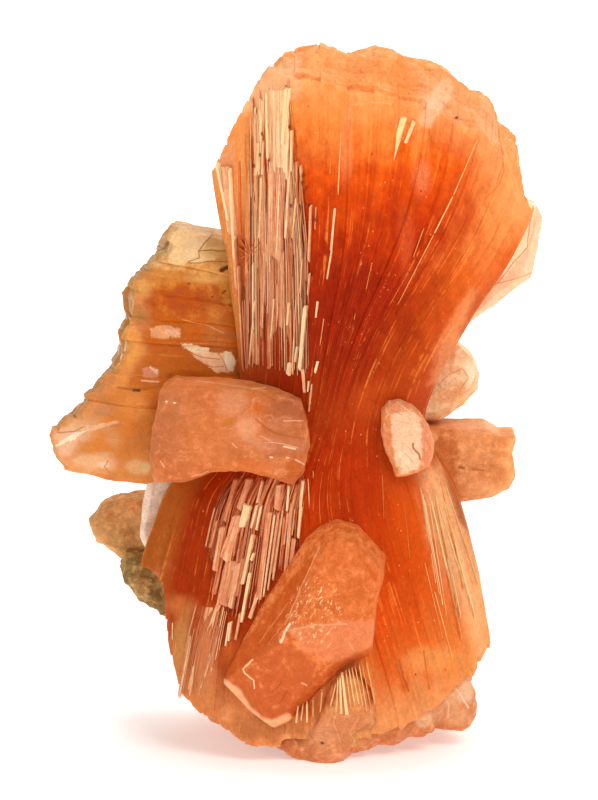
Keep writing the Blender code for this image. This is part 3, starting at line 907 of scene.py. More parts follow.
# The sheaf's colours by height: down its middle, and along its right edge, which is paler partly by its own
# colour and partly by painted glow of light through the thin edge.
MIDDLE_TONES = [
    (0, (0.84, 0.32, 0.11)), (6, (0.8, 0.23, 0.06)), (10, (0.74, 0.14, 0.018)), (15, (0.66, 0.072, 0.004)),
    (22, (0.58, 0.054, 0.003)), (28, (0.44, 0.03, 0.002)), (34, (0.44, 0.045, 0.004)),
    (40, (0.32, 0.018, 0.002)), (47, (0.37, 0.02, 0.002)), (52, (0.5, 0.036, 0.002)),
    (57, (0.66, 0.07, 0.003)), (60, (0.76, 0.115, 0.006)), (64, (0.91, 0.25, 0.045)),
    (66.5, (0.93, 0.3, 0.07)), (69, (0.92, 0.33, 0.1)), (72, (0.92, 0.4, 0.16)),
]
EDGE_TONES = [
    (0, (0.86, 0.38, 0.14)), (8, (0.86, 0.28, 0.06)), (16, (0.84, 0.22, 0.035)), (24, (0.78, 0.16, 0.022)),
    (30, (0.46, 0.05, 0.006)), (40, (0.46, 0.058, 0.004)), (49, (0.72, 0.12, 0.01)), (57, (0.87, 0.32, 0.08)),
    (64, (0.86, 0.42, 0.17)), (72, (0.9, 0.48, 0.24)),
]

# Patches on the sheaf, by where the photograph shows them: paler blades, cloudy parts of the cap, and the
# brown of the cleaved lower left. A few are painted shade and painted light: painted shade by the shaded
# foot at the lower left, and painted light that lifts the shade above the cross crystal and under the block.
SHEAF_PATCHES = [
    (346, 140, 8, 50, (0.91, 0.32, 0.12), 0.5), (422, 176, 12, 26, (0.92, 0.34, 0.15), 0.35),
    (406, 250, 10, 46, (0.74, 0.13, 0.03), 0.35), (280, 72, 20, 14, (0.92, 0.44, 0.2), 0.5),
    (365, 66, 26, 18, (0.86, 0.26, 0.07), 0.7), (488, 116, 14, 20, (0.84, 0.4, 0.17), 0.65),
    (340, 66, 18, 13, (0.87, 0.29, 0.085), 0.6), (481, 258, 16, 24, (0.72, 0.16, 0.028), 0.65),
    (340, 290, 36, 64, (0.3, 0.015, 0.002), 0.5), (300, 330, 22, 64, (0.32, 0.02, 0.003), 0.5),
    (372, 400, 26, 24, (0.6, 0.085, 0.01), 0.5), (352, 470, 28, 28, (0.5, 0.035, 0.002), 0.5),
    (410, 540, 22, 60, (0.66, 0.08, 0.003), 0.6), (440, 330, 16, 50, (0.5, 0.06, 0.006), 0.5),
    (243, 184, 10, 56, (0.93, 0.4, 0.13), 0.75), (250, 104, 12, 14, (0.9, 0.4, 0.15), 0.7),
    (206, 655, 16, 44, (0.78, 0.27, 0.1), 0.7), (180, 646, 12, 48, (0.66, 0.27, 0.08), 0.7),
    (178, 606, 22, 14, (0.66, 0.2, 0.05), 0.6), (228, 650, 14, 24, (0.6, 0.13, 0.025), 0.7),
    # Next line: painted shade by the shaded foot, then painted light lifting the shade above the cross
    # crystal.
    (262, 728, 44, 16, (0.52, 0.16, 0.05), 0.7), (246, 374, 44, 9, (0.54, 0.11, 0.02), 0.7),
    (268, 300, 20, 76, (0.58, 0.17, 0.07), 0.8), (296, 300, 10, 70, (0.42, 0.05, 0.014), 0.6),
    (330, 84, 10, 9, (0.9, 0.28, 0.06), 0.6), (342, 96, 10, 7, (0.9, 0.28, 0.06), 0.6),
    (382, 620, 10, 30, (0.78, 0.11, 0.005), 0.5), (404, 684, 6, 14, (0.7, 0.13, 0.015), 0.8),
    # Next line, second patch: painted light that lifts the shade under the block.
    (430, 660, 34, 16, (0.9, 0.36, 0.1), 0.6), (354, 676, 26, 26, (0.88, 0.3, 0.07), 0.9),
]

# Blades and parts of the cap with straight sides, as the photograph shows them.
SHEAF_FACETS = [
    ([(402, 52), (440, 60), (496, 100), (500, 140), (470, 128), (420, 104)], (0.88, 0.35, 0.14), 0.75, 0.5),
    ([(384, 56), (404, 58), (424, 84), (404, 112), (393, 106)], (0.88, 0.26, 0.06), 0.6, 0.4),
    ([(424, 104), (444, 74), (458, 74), (448, 100), (430, 128), (420, 122)], (0.94, 0.56, 0.34), 0.6, 0.3),
    ([(250, 60), (286, 42), (300, 48), (300, 96), (262, 108), (240, 112)], (0.89, 0.43, 0.2), 0.9, 0.5),
    ([(470, 290), (488, 290), (472, 320), (456, 350), (444, 384), (430, 384), (440, 340)],
     (0.84, 0.3, 0.1), 0.6, 0.6),
    ([(298, 94), (340, 93), (346, 112), (344, 160), (298, 160)], (0.93, 0.28, 0.06), 0.4, 1.8),
    ([(352, 103), (394, 103), (396, 118), (388, 160), (350, 160)], (0.93, 0.26, 0.05), 0.4, 1.6),
    ([(500, 130), (520, 160), (526, 214), (480, 224), (492, 190)], (0.92, 0.31, 0.09), 0.5, 0.8),
    ([(217, 161), (235, 138), (235, 167), (226, 164)], (0.74, 0.3, 0.13), 0.75, 0.08),
    ([(412, 476), (440, 466), (468, 530), (486, 600), (486, 650), (462, 660), (448, 600), (436, 540)],
     (0.95, 0.49, 0.22), 0.85, 1.8),
    ([(441, 462), (456, 480), (471, 536), (458, 520)], (0.38, 0.07, 0.014), 0.7, 0.25),
    ([(171, 640), (186, 606), (194, 606), (184, 694), (175, 694)], (0.6, 0.27, 0.08), 0.4, 0.6),
]
SHEAF_LINES = [
    ([(500, 125), (503, 152), (505, 170), (500, 184), (488, 196), (478, 214), (466, 238), (451, 262)],
     1.6, (0.72, 0.13, 0.02), 0.55),
    ([(349, 128), (351, 104), (372, 101), (394, 103)], 1.4, (0.96, 0.5, 0.24), 0.35),
    ([(394, 103), (397, 116), (392, 140)], 1.6, (0.84, 0.2, 0.03), 0.6),
    ([(325, 80), (338, 90), (348, 104)], 2.2, (0.88, 0.25, 0.05), 0.5),
    ([(424, 110), (436, 88), (446, 74)], 1.0, (0.86, 0.34, 0.14), 0.6),
    ([(432, 116), (446, 92), (456, 78)], 0.9, (0.86, 0.34, 0.14), 0.5),
    ([(430, 478), (446, 520), (462, 560), (472, 610)], 0.9, (0.8, 0.2, 0.05), 0.6),
    ([(436, 474), (450, 512), (464, 552), (476, 590)], 0.9, (0.82, 0.22, 0.06), 0.6),
    ([(423, 513), (432, 534), (441, 556)], 0.9, (0.66, 0.09, 0.008), 0.6),
    ([(400, 659), (405, 676), (410, 690)], 2.0, (0.46, 0.07, 0.01), 0.6),
    ([(457.5, 116.5), (458.5, 116.5)], 2.4, (0.1, 0.02, 0.005), 0.9),
    ([(510.5, 136), (511.5, 136)], 1.8, (0.3, 0.06, 0.01), 0.8),
    ([(498, 196), (507, 181)], 1.0, (0.8, 0.2, 0.04), 0.5),
]


def sheaf_paint():
    """Deep red at the waist, orange up the fans and peach at the tips, mottled and finely lined."""
    paint = Paint("banded orange stilbite")
    place = paint.object_place()
    x, _, z = paint.parts(place)
    fan = paint.attribute("fan")
    across, deep, _ = paint.parts(fan)
    to_tip, blade, _ = paint.parts(paint.attribute("tone"))
    seen = paint.seen(place)
    fine = paint.noise(fan, (110, 26, 0.09), 2.0, 0.6)
    streak = paint.noise(fan, (34, 8, 0.05), 2.0)
    cloud = paint.noise(seen, (0.22, 0.22, 0.14))
    mottle = paint.noise(seen, (0.95, 0.95, 0.6), 3.0, 0.6)
    grain = paint.noise(seen, (3.6, 3.6, 2.6), 2.0, 0.7)

    # Bands by height, whose edges wander, in other shades towards the right edge. The paler shades at the
    # edges are partly painted glow of light through the thin edges.
    height = z + cloud.swing(9) + streak.swing(9) + mottle.swing(7) + blade.swing(1.0) + fine.swing(2)
    lowest, highest = MIDDLE_TONES[0][0], MIDDLE_TONES[-1][0]
    colour = paint.colour_by(height, lowest, highest, MIDDLE_TONES)
    edge = paint.colour_by(height, lowest, highest, EDGE_TONES)
    lower = z.fall(25, 33)
    upper = z.rise(35, 42)
    colour = paint.coats(
        colour,
        ((across + cloud.swing(0.2) - lower * 0.1).rise(0.72, 0.95), edge),
        (lower * across.fall(0.3, 0.48) * 0.85, (0.34, 0.028, 0.002)),
        (lower * across.fall(0.05, 0.14) * 0.8, (0.46, 0.12, 0.015)),
        (lower * across.rise(0.945, 0.97) * z.rise(15, 19) * 0.7, (0.42, 0.07, 0.01)),
        (upper * across.fall(0.02, 0.09), (0.78, 0.28, 0.07)),
        (upper * across.rise(0.04, 0.09) * across.fall(0.12, 0.2) * 0.7, (0.82, 0.24, 0.05)),
    )

    # The tips, the cap and the foot are paler and cloudy.
    near_tip = to_tip.fall(0.3, 4.0)
    crust = deep.rise(0.03, 0.12) * z.rise(56, 60) + near_tip * 0.4
    frost = (z + cloud.swing(6)).fall(4, 10)
    colour = paint.coats(
        colour,
        (near_tip * upper * 0.4, (0.93, 0.4, 0.15)),
        (frost * 0.6, (0.86, 0.34, 0.11)),
        ((crust + frost * 0.6) * (mottle * 0.5 + cloud * 0.5).rise(0.46, 0.66) * 0.35, (0.92, 0.45, 0.2)),
        (crust * (mottle * 0.4 + cloud * 0.6).fall(0.36, 0.52) * 0.45, (0.9, 0.29, 0.07)),
    )

    # What only the front shows: patches, facets, and painted shade: a dark red under the pearly strips,
    # which darkens the gaps between the splinters.
    plain = colour
    colour = paint.spots(colour, seen, cloud.swing(1.6) + mottle.swing(0.8), SHEAF_PATCHES)
    colour = paint.facets(colour, seen, mottle.swing(0.9) + cloud.swing(0.6), SHEAF_FACETS)
    # Painted shade: the sheaf is darkened under the upper and the lower pearly strip.
    under = soft_patch(x, z, (-4.6, 47), (4.6, 18)) * 1.6 + soft_patch(x, z, (-6.5, 21), (6, 10)) * 1.4
    behind = deep.rise(0.3, 0.5)
    colour = paint.coats(colour, (under * 0.6, (0.34, 0.03, 0.004)), (behind, plain))

    # Fine pale lines along the blades, partly painted glints, and dark ones between them, then thin cracks.
    colour = paint.blend(fine.rise(0.58, 0.68) * mottle.rise(0.4, 0.55) * 0.5, colour, (0.95, 0.3, 0.045))
    colour = paint.times(colour, 1 - fine.fall(0.32, 0.42) * 0.14)
    colour = paint.blend(behind, paint.strokes(colour, paint.drift(seen, 0.07), SHEAF_LINES), colour)

    # Bright flecks, which are painted glints, dark pinholes and grain.
    flecks = paint.cells(paint.scaled(place, (1.7, 1.7, 1.1))) + grain.swing(0.3)
    pinholes = paint.cells(paint.scaled(place, (0.42, 0.42, 0.42)))
    colour = paint.coats(
        colour,
        (flecks.fall(0.04, 0.12) * mottle.rise(0.46, 0.56) * 0.6, (0.98, 0.52, 0.2)),
        (pinholes.fall(0.03, 0.05) * 0.8, (0.16, 0.02, 0.004)),
    )
    colour = paint.times(colour, 1 + grain.swing(0.55) + mottle.swing(0.45))
    relief = fine * 0.4 + grain * 0.4 + mottle * (0.3 + (crust + frost) * 0.4)
    normal = paint.bump(relief, 0.8, 0.2)
    return paint.crystal(colour, 0.4 + near_tip * 0.2, normal, scatter=0.9, weight=0.5, gloss=0.03)


# The wing's colours from its lower to its upper edge.
WING_TONES = [
    (0.0, (0.7, 0.27, 0.065)), (0.3, (0.64, 0.2, 0.025)), (0.5, (0.55, 0.13, 0.008)),
    (0.72, (0.56, 0.125, 0.005)), (0.86, (0.66, 0.28, 0.04)), (1.0, (0.76, 0.5, 0.22)),
]

# Patches on the wing: the greenish beige top, golden and deep orange middle, pearly flakes and pale tip, and
# painted shade in the gap above the cross crystal.
WING_PATCHES = [
    (210, 275, 30, 9, (0.8, 0.42, 0.12), 0.8), (160, 275, 30, 10, (0.6, 0.2, 0.03), 0.7),
    (182, 304, 44, 19, (0.48, 0.08, 0.002), 0.9), (216, 330, 16, 34, (0.54, 0.17, 0.03), 0.7),
    (136, 314, 14, 13, (0.46, 0.2, 0.045), 0.85), (138, 288, 14, 12, (0.78, 0.4, 0.1), 0.7),
    # Next line, second patch: painted shade in the gap above the cross crystal.
    (130, 348, 20, 24, (0.8, 0.34, 0.06), 0.8), (190, 378, 30, 8, (0.5, 0.11, 0.01), 0.7),
    (102, 410, 14, 7, (0.54, 0.25, 0.1), 0.7), (140, 404, 22, 20, (0.76, 0.29, 0.06), 0.8),
    (84, 430, 24, 14, (0.76, 0.43, 0.22), 0.7), (64, 446, 22, 24, (0.84, 0.52, 0.32), 0.8),
    (116, 440, 22, 12, (0.74, 0.36, 0.14), 0.6), (95, 462, 30, 12, (0.84, 0.5, 0.26), 0.8),
    (135, 466, 16, 9, (0.82, 0.46, 0.2), 0.8), (103, 465, 7, 4, (0.92, 0.64, 0.42), 0.7),
    (146, 468, 5, 6, (0.72, 0.56, 0.26), 0.6), (181, 256, 10, 9, (0.44, 0.26, 0.09), 0.7),
    (178, 247, 8, 6, (0.74, 0.5, 0.22), 0.5), (156, 262, 10, 6, (0.86, 0.6, 0.3), 0.5),
]
WING_FACETS = [
    ([(176, 221), (226, 221), (232, 262), (196, 263), (172, 268), (164, 254), (168, 236)],
     (0.79, 0.56, 0.27), 0.85, 0.12),
    ([(214, 222), (226, 222), (230, 246), (202, 248), (207, 241)], (0.62, 0.4, 0.15), 0.8, 0.08),
    ([(188, 232), (212, 228), (206, 242), (200, 256), (190, 258), (184, 246)], (0.84, 0.6, 0.34), 0.6, 0.25),
    ([(202, 249), (231, 249), (232, 258), (206, 258)], (0.72, 0.45, 0.16), 0.8, 0.06),
    ([(148, 251), (152, 245), (167, 240), (168, 244), (160, 252), (151, 253)], (0.8, 0.5, 0.3), 0.85, 0.06),
    ([(150, 328), (167, 325), (180, 329), (181, 338), (160, 338), (153, 336)], (0.78, 0.38, 0.17), 0.85, 0.1),
    ([(166, 330), (178, 329), (180, 336), (168, 337)], (0.84, 0.46, 0.28), 0.7, 0.06),
    ([(180, 343), (192, 344), (209, 349), (208, 354), (194, 352), (184, 349)],
     (0.95, 0.74, 0.46), 0.95, 0.05),
    ([(184, 350), (206, 352), (230, 350), (236, 362), (232, 372), (209, 372), (196, 358)],
     (0.9, 0.56, 0.32), 0.9, 0.1),
    ([(224, 352), (231, 352), (236, 364), (233, 371), (227, 366)], (0.95, 0.74, 0.5), 0.85, 0.06),
    ([(142, 369), (151, 366), (160, 371), (157, 378), (143, 378)], (0.78, 0.34, 0.2), 0.75, 0.12),
    ([(149, 367), (158, 370), (157, 374)], (0.92, 0.62, 0.46), 0.8, 0.06),
    ([(56, 446), (73, 433), (88, 430), (88, 434), (75, 439), (60, 449)], (0.97, 0.78, 0.54), 0.9, 0.08),
    ([(78, 430), (90, 426), (118, 420), (119, 424), (92, 430)], (0.82, 0.5, 0.28), 0.7, 0.08),
    ([(124, 330), (131, 322), (141, 335), (126, 392), (112, 388)], (0.82, 0.36, 0.08), 0.6, 0.3),
]
WING_LINES = [
    ([(213.6, 226), (214.5, 232), (201.4, 248), (201.4, 255), (191, 259)], 1.2, (0.36, 0.17, 0.05), 0.9),
    ([(201, 248.2), (228, 247.8)], 1.3, (0.4, 0.16, 0.03), 0.9),
    ([(190, 260.5), (231, 259)], 1.2, (0.4, 0.16, 0.03), 0.9),
    ([(147, 249), (151, 253), (167, 247), (171, 239)], 1.6, (0.3, 0.2, 0.06), 0.9),
    ([(224, 268), (231, 265)], 4.2, (0.13, 0.03, 0.006), 0.95),
    ([(190.4, 281.6), (192, 281)], 1.8, (0.16, 0.05, 0.01), 0.9),
    ([(213.5, 294.4), (215, 293.8)], 1.8, (0.2, 0.05, 0.01), 0.85),
    ([(225, 290), (228, 288.4)], 2.4, (0.2, 0.08, 0.02), 0.85),
    ([(185, 347), (208, 355), (222, 357)], 0.9, (0.5, 0.13, 0.03), 0.8),
    ([(190, 353), (214, 365), (226, 364)], 0.9, (0.52, 0.14, 0.04), 0.8),
    ([(222, 352), (226, 358), (230, 371)], 0.9, (0.56, 0.18, 0.06), 0.8),
    ([(186, 318), (206, 321), (226, 331)], 1.0, (0.8, 0.4, 0.18), 0.6),
    ([(144, 378.8), (161, 379.3)], 1.8, (0.9, 0.56, 0.34), 0.85),
    ([(121, 385), (140, 388), (163, 384)], 3.0, (0.44, 0.12, 0.015), 0.7),
    ([(136, 388.2), (141.4, 388.8)], 2.6, (0.1, 0.03, 0.006), 0.9),
    ([(176, 380), (184, 378.4)], 2.0, (0.96, 0.74, 0.52), 0.9),
    ([(61, 430.5), (76, 428.8), (86, 424.4)], 1.2, (0.48, 0.2, 0.07), 0.8),
    ([(110, 458.6), (107, 464), (111.4, 470), (120, 473.4)], 1.1, (0.52, 0.22, 0.07), 0.75),
    ([(62, 417), (60, 430)], 2.6, (0.6, 0.22, 0.06), 0.7),
]


def wing_paint():
    """Golden orange and translucent, greener and paler at the top, with flakes, specks and cracks."""
    paint = Paint("golden crossing stilbite")
    place = paint.object_place()
    fan = paint.attribute("fan")
    across, deep, _ = paint.parts(fan)
    to_tip, blade, _ = paint.parts(paint.attribute("tone"))
    fine = paint.noise(fan, (46, 16, 0.12), 3.0, 0.6)
    cloud = paint.noise(place, 0.25, 4.0)
    mottle = paint.noise(place, 0.9, 4.0, 0.65)
    grain = paint.noise(place, 3.6, 2.0, 0.7)
    share = across + cloud.swing(0.5) + mottle.swing(0.3) + blade.swing(0.04)
    plain = paint.colour_by(share, 0, 1, WING_TONES)
    plain = paint.blend(to_tip.fall(0.3, 3.0) * 0.4, plain, (0.76, 0.4, 0.17))

    # Patches, flakes and cracks where the photograph shows them, on the front only.
    seen = paint.seen(place)
    wander = cloud.swing(1.2) + mottle.swing(0.9)
    colour = paint.spots(plain, seen, wander * 1.6, WING_PATCHES)
    colour = paint.facets(colour, seen, wander * 0.5 + grain.swing(0.3), WING_FACETS)
    colour = paint.strokes(colour, paint.drift(seen, 0.12), WING_LINES)

    # The torn rim is browner, and fine lines run along the blades.
    colour = paint.coats(
        colour,
        (deep.rise(0.4, 0.6), plain),
        ((to_tip + mottle.swing(1.4)).fall(0.1, 0.7) * 0.55, (0.42, 0.21, 0.055)),
        (fine.fall(0.3, 0.42) * 0.2, (0.4, 0.11, 0.01)),
        (fine.rise(0.6, 0.68) * 0.3, (0.86, 0.46, 0.14)),
    )
    colour = paint.times(colour, 1 + grain.swing(0.3) + mottle.swing(0.55))
    normal = paint.bump(fine * 0.2 + cloud + mottle * 0.6 + grain * 0.15, 0.7, 0.4)
    return paint.crystal(colour, 0.25, normal, scatter=1.4, weight=0.6, gloss=0.14)


# The shades of a splinter, from its dark to its light: on the cleaved side, and on the orange body. The light
# end is partly the splinters' own pale colour and partly painted pearly sheen and glints.
PINK_TONES = [
    (0.0, (0.26, 0.03, 0.008)), (0.15, (0.5, 0.085, 0.022)), (0.35, (0.66, 0.19, 0.075)),
    (0.55, (0.76, 0.28, 0.13)), (0.78, (0.9, 0.45, 0.22)), (1.0, (0.97, 0.68, 0.38)),
]
AMBER_TONES = [(0.0, (0.62, 0.07, 0.006)), (0.5, (0.88, 0.27, 0.045)), (1.0, (0.96, 0.66, 0.28))]


def pearl_paint():
    """Pink to cream, partly as painted pearly sheen, with painted shade along the edges and fine lines, each
    splinter in its own shade. Those on the orange body are amber."""
    paint = Paint("pearly splinters")
    fan = paint.attribute("fan")
    _, wide, _ = paint.parts(fan)
    half, shade_of, warm = paint.parts(paint.attribute("tone"))
    fine = paint.noise(fan, (5.0, 0, 0.12), 3.0, 0.65)
    chips = paint.noise(fan, (1.8, 0, 0.9), 4.0, 0.75)
    shade_here = shade_of + fine.swing(1.5) + chips.swing(0.9)
    pink = paint.colour_by(shade_here, 0, 1, PINK_TONES)
    colour = paint.blend(warm, pink, paint.colour_by(shade_here, 0, 1, AMBER_TONES))
    # Painted shade along each splinter's edges, for the dark gaps between splinters; paler splinters get
    # less.
    edge = (half - (wide ** 2) ** 0.5).fall(0.0, 0.05)
    edge_shade = edge * (1 - warm * 0.7) * (1 - shade_of.rise(0.6, 1.0) * 0.6) * 0.6
    colour = paint.blend(edge_shade, colour, (0.3, 0.045, 0.01))
    normal = paint.bump(fine * 0.8 + chips, 0.7, 0.12)
    return paint.crystal(colour, 0.32, normal, scatter=0.35, weight=0.12, gloss=0.14)


def matte_paint(name, colour, deep, light, scale=1.0, roughness=0.55, scatter=1.0, lines=0.0, patches=(),
                facets=(), strokes=(), contrast=1.0, run=(0.3, 0.6, 2.6), swirl=0.5):
    """A frosted, slightly pitted crystal, with patches, facets and thin lines where the photograph shows
    them. Its scratches lie along run, and lines says how deep they are."""
    paint = Paint(name)
    place = paint.object_place()
    seen = paint.seen(place)
    cloud = paint.noise(place, 0.3 * scale, 3.0, 0.6)
    mottle = paint.noise(place, 1.1 * scale, 3.0, 0.6)
    grain = paint.noise(place, 4.2 * scale, 2.0, 0.7)
    tinted = paint.blend((cloud * 0.7 + mottle * 0.3).rise(0.38, 0.62), deep, colour)
    tinted = paint.blend(mottle.rise(0.52, 0.72) * 0.4, tinted, light)
    tinted = paint.spots(tinted, seen, cloud.swing(2) + mottle.swing(1.2), patches)
    tinted = paint.facets(tinted, seen, mottle.swing(0.6) + cloud.swing(0.4), facets)
    pits = paint.cells(place, 1.7 * scale) + grain.swing(0.3)
    tinted = paint.blend(pits.fall(0.05, 0.12) * mottle.rise(0.46, 0.54) * 0.7, tinted, light)
    height = grain * 0.4 + mottle * 0.8 + cloud * 0.5
    if lines:
        scratches = paint.noise(paint.drift(place, swirl), run, 3.0, 0.65)
        height = height + scratches * lines
        tinted = paint.coats(tinted, (scratches.rise(0.58, 0.68) * 0.4, light),
                             (scratches.fall(0.33, 0.42) * 0.35, deep))
    tinted = paint.strokes(tinted, paint.drift(seen, 0.1), strokes)
    tinted = paint.times(tinted, 1 + grain.swing(0.6) * contrast + mottle.swing(0.5) * contrast)
    normal = paint.bump(height, 0.6, 0.16)
    return paint.crystal(tinted, roughness, normal, scatter=scatter, weight=0.55, gloss=0.1)


# The block: its facets, the ridge partly a painted highlight, and the bright flecks, lip and cracks on them,
# with painted highlights along the upper face's edges.
BLOCK_FACETS = [
    ([(335, 528), (350, 536), (320, 545), (285, 630), (224, 684), (220, 676), (270, 606)],
     (0.58, 0.095, 0.009), 0.85, 0.12),
    ([(318, 548), (352, 534), (386, 566), (378, 620), (345, 628), (290, 622)],
     (0.72, 0.17, 0.035), 0.5, 0.15),
    ([(334, 530), (352, 530), (388, 556), (390, 604), (376, 580), (356, 556), (330, 552)],
     (0.56, 0.08, 0.006), 0.9, 0.7),
    # The ridge below the upper face: partly its own pinkish colour, partly a painted highlight on the slab's
    # top.
    ([(286, 628), (340, 620), (380, 622), (372, 650), (334, 664), (300, 650)], (0.82, 0.25, 0.095), 0.8, 0.3),
    ([(224, 682), (284, 630), (300, 650), (334, 664), (296, 708), (276, 732), (240, 712)],
     (0.62, 0.125, 0.026), 0.85, 0.2),
    ([(292, 706), (334, 664), (372, 648), (352, 668), (312, 704), (280, 730)], (0.58, 0.095, 0.01), 0.6, 0.2),
]
BLOCK_LINES = [
    ([(226, 680), (240, 691), (251, 707), (262, 718), (276, 721), (290, 715)], 8.5, (0.93, 0.5, 0.25), 0.9),
    ([(256, 657), (246.5, 666), (248, 671), (256, 677), (256.6, 686)], 1.4, (0.96, 0.66, 0.34), 0.9),
    ([(293, 621), (288, 630), (284, 639)], 2.6, (0.98, 0.74, 0.44), 0.95),
    ([(262, 640), (274, 624), (290, 600)], 0.9, (0.86, 0.34, 0.12), 0.6),
    ([(272, 642), (290, 616), (304, 588)], 0.9, (0.84, 0.32, 0.11), 0.5),
    ([(283, 700), (290, 688)], 1.4, (0.4, 0.06, 0.01), 0.6),
    ([(276, 690), (284, 680)], 1.0, (0.42, 0.07, 0.012), 0.5),
    ([(305, 681), (309, 683)], 1.6, (0.95, 0.6, 0.34), 0.7),
    ([(330, 646), (334, 642)], 1.4, (0.93, 0.54, 0.3), 0.6),
    ([(351, 640), (356, 648)], 1.2, (0.92, 0.5, 0.28), 0.5),
    # The next two lines are painted highlights along the edges of the upper face.
    ([(322, 545), (306, 580), (288, 622)], 1.4, (0.9, 0.4, 0.16), 0.6),
    ([(286, 629), (320, 622), (350, 622)], 1.6, (0.93, 0.46, 0.22), 0.5),
]


def block_paint():
    """A frosted upper face with painted highlights along its edges, a pinkish ridge below it that is partly a
    painted highlight, and clearer, deeper orange facets left and under it.
    """
    paint = Paint("pitted peach stilbite")
    place = paint.object_place()
    seen = paint.seen(place)
    x, _, up = paint.parts(seen)
    cloud = paint.noise(place, 0.35)
    mottle = paint.noise(place, 1.2, 3.0, 0.6)
    grain = paint.noise(place, 4.4, 2.0, 0.7)
    patchy = (grain * 0.3 + mottle * 0.7).rise(0.4, 0.6)
    colour = paint.blend(patchy, (0.66, 0.13, 0.022), (0.8, 0.23, 0.062))
    colour = paint.facets(colour, seen, cloud.swing(1.2) + mottle.swing(0.5), BLOCK_FACETS)

    # Slanting pits and shards in the middle of the upper face.
    leaning = paint.node("ShaderNodeCombineXYZ", None, {0: x * 0.9 - up * 0.44, 2: x * 0.44 + up * 0.9})
    shards = paint.noise(paint.drift(leaning, 0.22), (3.4, 0, 1.5), 3.0, 0.7)
    pitted = soft_patch(x, up, (-0.4, 12.8), (3.4, 4.6)) + soft_patch(x, up, (-1.4, 12.0), (2.6, 2.6))
    inside = pitted.rise(0.1, 0.6)
    colour = paint.coats(
        colour,
        (shards.rise(0.56, 0.62) * inside * 0.9, (0.98, 0.66, 0.32)),
        (shards.fall(0.34, 0.4) * inside * 0.5, (0.56, 0.11, 0.015)),
        (mottle.rise(0.58, 0.72) * 0.25, (0.92, 0.42, 0.18)),
    )
    colour = paint.strokes(colour, paint.drift(seen, 0.14), BLOCK_LINES)
    colour = paint.times(colour, 1 + grain.swing(0.35) + mottle.swing(0.35))
    normal = paint.bump(grain * 0.25 + mottle + cloud * 0.4 + shards * pitted * 0.8, 0.6, 0.16)
    return paint.crystal(colour, 0.45, normal, scatter=0.8, weight=0.5, gloss=0.1)


def floor_paint():
    """A white table top. It glows a little more far away, where the lamps don't reach. Beside the specimen it
    is
    darker and warmer: a painted shadow with a painted warm glow, for the light that the specimen colours."""
    paint = Paint("white table")
    x, y, _ = paint.parts(paint.object_place())
    away = ((x ** 2 + y ** 2) ** 0.5).rise(40, 260)
    # Painted shadow beside the specimen, warmed by painted glow: a darker base and a dimmer, warmer glow
    # there.
    beside = how_far(x, y, (-2.5, -5), (20, 15)).fall(0.5, 1.25)
    base = paint.blend(beside, (0.86, 0.84, 0.83), (0.83, 0.77, 0.73))
    glow = paint.blend(away, (0.48, 0.475, 0.475), (0.9, 0.9, 0.9))
    glow = paint.blend(beside * 0.5, glow, (0.32, 0.28, 0.26))
    return paint.finish({
        "Base Color": base, "Roughness": 1.0, "Specular IOR Level": 0.0, "Emission Color": glow,
        "Emission Strength": 1.0,
    })


def dress(thing, finish, slot, *nodes):
    """Gives a finished piece its material and its body, and hides the CAD nodes that it stands for. The slot
    is not used.
    """
    thing.data.materials.clear()
    thing.data.materials.append(finish)
    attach(thing, "root")
    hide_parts(*nodes)


# The frame, the camera and the light

# The lamps, as name, place in metres, size, watts and colour, and where they all point.
LAMPS = [
    ("key", (0.3, -0.46, 0.62), 0.45, 2.9, (1, 1, 1)), ("fill", (-0.6, -0.45, 0.3), 0.45, 0.7, (1, 1, 1)),
    ("top", (-0.05, 0.2, 0.8), 0.35, 2.0, (1, 1, 1)), ("rear", (0.3, 0.65, 0.35), 0.45, 1.6, (1, 0.97, 0.93)),
]
LAMP_AIM = (0, 0, 0.035)
WORLD_GLOW = 0.4
TABLE_SIZE = 12

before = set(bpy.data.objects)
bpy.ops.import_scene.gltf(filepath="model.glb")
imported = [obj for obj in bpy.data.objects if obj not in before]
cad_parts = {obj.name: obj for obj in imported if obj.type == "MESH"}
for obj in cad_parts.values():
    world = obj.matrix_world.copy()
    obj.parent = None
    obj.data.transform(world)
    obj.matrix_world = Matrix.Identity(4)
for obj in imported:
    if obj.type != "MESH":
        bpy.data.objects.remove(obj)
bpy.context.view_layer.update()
bpy.ops.object.select_all(action="DESELECT")

target = Vector(CAMERA_TARGET) * MM
camera_data = bpy.data.cameras.new("camera")
camera = bpy.data.objects.new("camera", camera_data)
bpy.context.scene.collection.objects.link(camera)
camera.location = target + Vector((0, -math.cos(CAMERA_RISE), math.sin(CAMERA_RISE))) * CAMERA_DISTANCE * MM
camera.rotation_euler = (math.radians(90) - CAMERA_RISE, 0, 0)
camera_data.lens = CAMERA_LENS
camera_data.clip_start = 0.01
camera_data.clip_end = 20
bpy.context.scene.camera = camera
bpy.context.scene.view_settings.view_transform = "Standard"

world = bpy.data.worlds.new("studio")
world.use_nodes = True
background = world.node_tree.nodes["Background"]
background.inputs["Color"].default_value = (1, 1, 1, 1)
background.inputs["Strength"].default_value = WORLD_GLOW
bpy.context.scene.world = world


def softbox(name, place, size, watts, colour):
    data = bpy.data.lights.new(name, "AREA")
    data.shape = "DISK"
    data.size = size
    data.energy = watts
    data.color = colour
    lamp = bpy.data.objects.new(name, data)
    bpy.context.scene.collection.objects.link(lamp)
    lamp.location = place
    aim = Vector(LAMP_AIM) - Vector(place)
    lamp.rotation_euler = aim.to_track_quat("-Z", "Y").to_euler()


for lamp in LAMPS:
    softbox(*lamp)

bpy.ops.mesh.primitive_plane_add(size=TABLE_SIZE, location=(0, 0, 0))
floor = bpy.context.object
floor.name = "table"
floor.data.materials.append(floor_paint())

